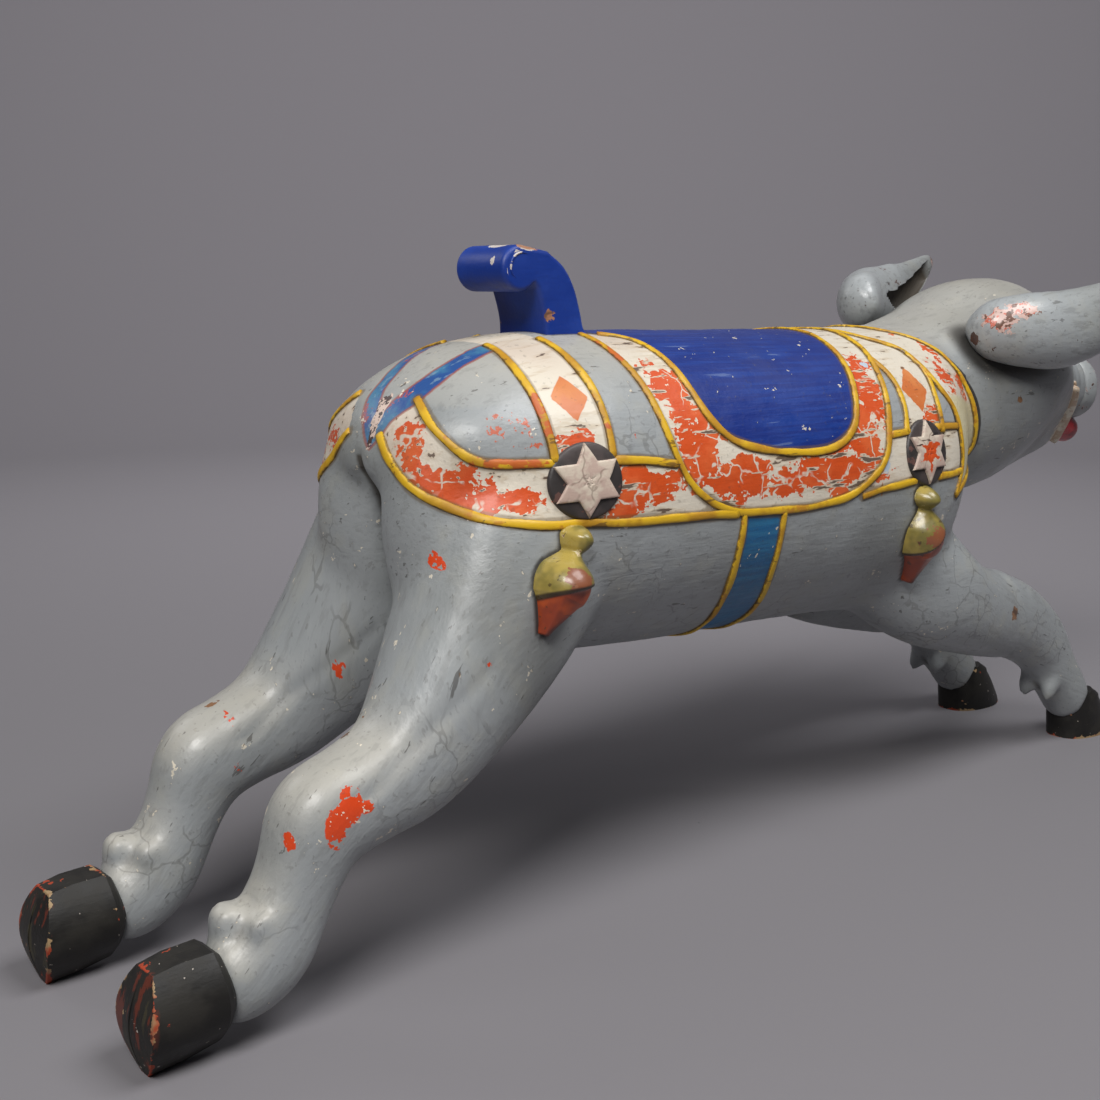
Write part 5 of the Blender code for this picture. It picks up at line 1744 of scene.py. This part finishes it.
def eyelids(seat, out, right, up):
    """A closed ring along a lens, as high as the sine to the 1.25, round in section and thicker above."""
    c, s = np.cos(circle(40)), np.sin(circle(40))
    lens = np.abs(s) ** 1.25 * np.sign(s)
    spine = seat + np.outer(c * EYE_WIDE * 1.02, right) + np.outer(lens * EYE_HIGH * 0.74, up)
    radial = np.outer(c, right) + np.outer(s, up)
    around = circle(14)
    thick = (0.0030 + 0.0012 * np.maximum(s, 0))[:, None, None]
    ring = np.cos(around)[None, :, None] * radial[:, None] + np.sin(around)[None, :, None] * out
    loop = spine[:, None] + thick * ring
    rows, count = loop.shape[:2]
    i, j = np.meshgrid(np.arange(rows), np.arange(count), indexing="ij")
    after, beside = (i + 1) % rows * count, (j + 1) % count
    quads = np.stack([i * count + j, i * count + beside, after + beside, after + j], axis=-1)
    return loop.reshape(-1, 3), quads.reshape(-1, 4).tolist()


class PIG_OT_finish_face(bpy.types.Operator):
    """Add the snout's end, the lips, the tongue and the eyes"""
    bl_idname = "pig.finish_face"
    bl_label = "Finish Face"

    def execute(self, context):
        grey, surface = context.scene.pig_paint.grey, STORE["surface"]
        paint = plain_paint("pale_snout_paint", tuple(1.12 * c for c in grey), (0.52, 0.20, 0.17), 0.35)
        rings, marks = snout_rings()
        finished("snout_end", *tube(rings), "grey_paint", paint, ("pig",), marks=marks)
        # Painted light: the lips' own cream, made brighter than the cream coat so that they look lit where
        # they face away from the lamps.
        paint = gloss_paint("cream_lip_paint", (0.82, 0.76, 0.64), (0.62, 0.47, 0.34), (0.5, 0.7), 0.0)
        finished("mouth_lips", *lip_cords(surface), "grey_paint", paint, ("pig",))
        paint = gloss_paint("red_tongue_paint", (0.48, 0.022, 0.03), (0.24, 0.012, 0.018), (0.16, 0.3), 0.4)
        finished("carved_tongue", *tube(tongue_rings()), "grey_paint", paint, ("pig",))
        dark = gloss_paint("eye_paint", (0.035, 0.022, 0.016), (0.07, 0.045, 0.03), (0.12, 0.2), 0.7)
        paint = plain_paint("grey_lid_paint", grey, (0.60, 0.16, 0.10), 0.5)
        for word, side in SIDES:
            seat = eye_seat(surface, side)
            finished("eye_" + word, *eyeball(*seat), "grey_paint", dark, ("pig",))
            points, faces = eyelids(*seat)
            flags = np.zeros(len(points))
            marks = {"chip": flags + 0.02, "bare": flags, "hollow": flags}
            finished("eyelids_" + word, points, faces, "grey_paint", paint, ("pig",), marks=marks)
        return {"FINISHED"}


class PIG_OT_paint_seam_shade(bpy.types.Operator):
    """Mark the body dark close to the ears, the cantle and the tassels: painted shade where they meet it"""
    bl_idname = "pig.darken_seams"
    bl_label = "Darken Seams"

    def execute(self, context):
        mesh = bpy.data.objects["pig_body"].data
        points = read_points(mesh) + (DRAWN_MIDDLE, 0, 0)
        seam = np.zeros(len(points))
        reaches = {"carved_ear": 0.028, "painted_cantle": 0.005, "carved_tassel": 0.005}
        for obj in list(context.scene.objects):
            for start, reach in reaches.items():
                if obj.name.startswith(start):
                    corners, tree = laid_on(obj.name)
                    near = (points > corners.min(axis=0) - reach) & (points < corners.max(axis=0) + reach)
                    for n in np.flatnonzero(near.all(axis=1)):
                        apart = tree.find_nearest(Vector(points[n]), reach)[3]
                        if apart is not None:
                            seam[n] = max(seam[n], min(1, 1.5 * (1 - apart / reach)))
        mark(mesh, "seam", seam)
        return {"FINISHED"}


def floor_rings():
    """A round floor that curves up into a wall: radius and height of its rings along a quarter circle."""
    bend = np.linspace(0, np.pi / 2, 18)
    radius = np.concatenate([[0.001, 1.0, 2.0, 3.0, 3.8], 4.2 + 2.2 * np.sin(bend), [6.4, 6.4]])
    height = np.concatenate([[0, 0, 0, 0, 0], 2.2 * (1 - np.cos(bend)), [3.2, 4.2]])
    c, s = np.cos(circle(96)), np.sin(circle(96))
    return np.stack([np.outer(radius, c), np.outer(radius, s), height[:, None] + 0 * c], axis=-1)


class PIG_OT_set_stage(bpy.types.Operator):
    """Set the plain floor that curves up all round, the soft lights and the camera"""
    bl_idname = "pig.set_stage"
    bl_label = "Set Stage"

    def execute(self, context):
        stage, link = context.scene.pig_stage, context.scene.collection.objects.link
        points, faces = tube(floor_rings())
        floor = new_object("floor", points, [face[::-1] for face in faces[:-2]])
        floor.data.shade_smooth()
        material = bpy.data.materials.new("floor_paint")
        tree = nodes_of(material)
        fed(tree, tree.nodes["Principled BSDF"], {"Base Color": rgb(stage.floor), "Roughness": 0.85})
        floor.data.materials.append(material)
        for name, place, aim, (wide, high), power, colour in LAMPS:
            light = bpy.data.lights.new(name, "AREA")
            light.shape = "RECTANGLE"
            light.size = wide
            light.size_y = high
            light.energy = power * stage.light
            light.color = colour
            lamp = bpy.data.objects.new(name, light)
            link(lamp)
            lamp.location = place
            lamp.rotation_euler = (Vector(aim) - Vector(place)).to_track_quat("-Z", "Y").to_euler()
        world = bpy.data.worlds.new("room")
        context.scene.world = world
        tree = nodes_of(world)
        fed(tree, tree.nodes["Background"], {0: rgb(SKY_COLOUR), 1: SKY_LIGHT})
        context.scene.view_settings.view_transform = "Standard"
        camera = bpy.data.cameras.new("camera")
        camera.sensor_width = 36.0
        camera.lens = CAMERA_LENS
        camera.clip_start = 0.05
        holder = bpy.data.objects.new("camera", camera)
        link(holder)
        turned = Vector(CAMERA_AHEAD).normalized().to_track_quat("-Z", "Y").to_matrix().to_4x4()
        holder.matrix_world = Matrix.Translation(CAMERA_PLACE) @ turned
        context.scene.camera = holder
        return {"FINISHED"}


class PIG_PT_panel(bpy.types.Panel):
    """The steps that dress the pig, in their order"""
    bl_idname = "PIG_PT_panel"
    bl_label = "Carousel Pig"
    bl_space_type = "VIEW_3D"
    bl_region_type = "UI"
    bl_category = "Carousel Pig"

    def draw(self, context):
        layout = self.layout
        for group in (context.scene.pig_sizes, context.scene.pig_paint, context.scene.pig_stage):
            box = layout.box()
            for word in group.bl_rna.properties.keys():
                if word not in ("rna_type", "name"):
                    box.prop(group, word)
        for step in STEPS:
            layout.operator(step.bl_idname)


STEPS = (
    PIG_OT_carve_body, PIG_OT_lay_piping, PIG_OT_set_rosettes, PIG_OT_fit_hooves, PIG_OT_fit_ears,
    PIG_OT_fit_cantle, PIG_OT_hang_tassels, PIG_OT_finish_face, PIG_OT_paint_seam_shade, PIG_OT_set_stage,
)
CLASSES = (CarvingSizes, PaintColours, StageSettings) + STEPS + (PIG_PT_panel,)


def register():
    """Add the classes and the three groups of settings."""
    for cls in CLASSES:
        bpy.utils.register_class(cls)
    bpy.types.Scene.pig_sizes = bpy.props.PointerProperty(type=CarvingSizes)
    bpy.types.Scene.pig_paint = bpy.props.PointerProperty(type=PaintColours)
    bpy.types.Scene.pig_stage = bpy.props.PointerProperty(type=StageSettings)


def unregister():
    """Take them away again."""
    del bpy.types.Scene.pig_stage, bpy.types.Scene.pig_paint, bpy.types.Scene.pig_sizes
    for cls in reversed(CLASSES):
        bpy.utils.unregister_class(cls)


def main():
    """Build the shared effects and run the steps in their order."""
    register()
    make_age_group()
    make_coat_group()
    make_grime_and_shade_group()
    make_wood_group()
    for step in STEPS:
        group, name = step.bl_idname.split(".")
        getattr(getattr(bpy.ops, group), name)()


if __name__ == "__main__":
    main()
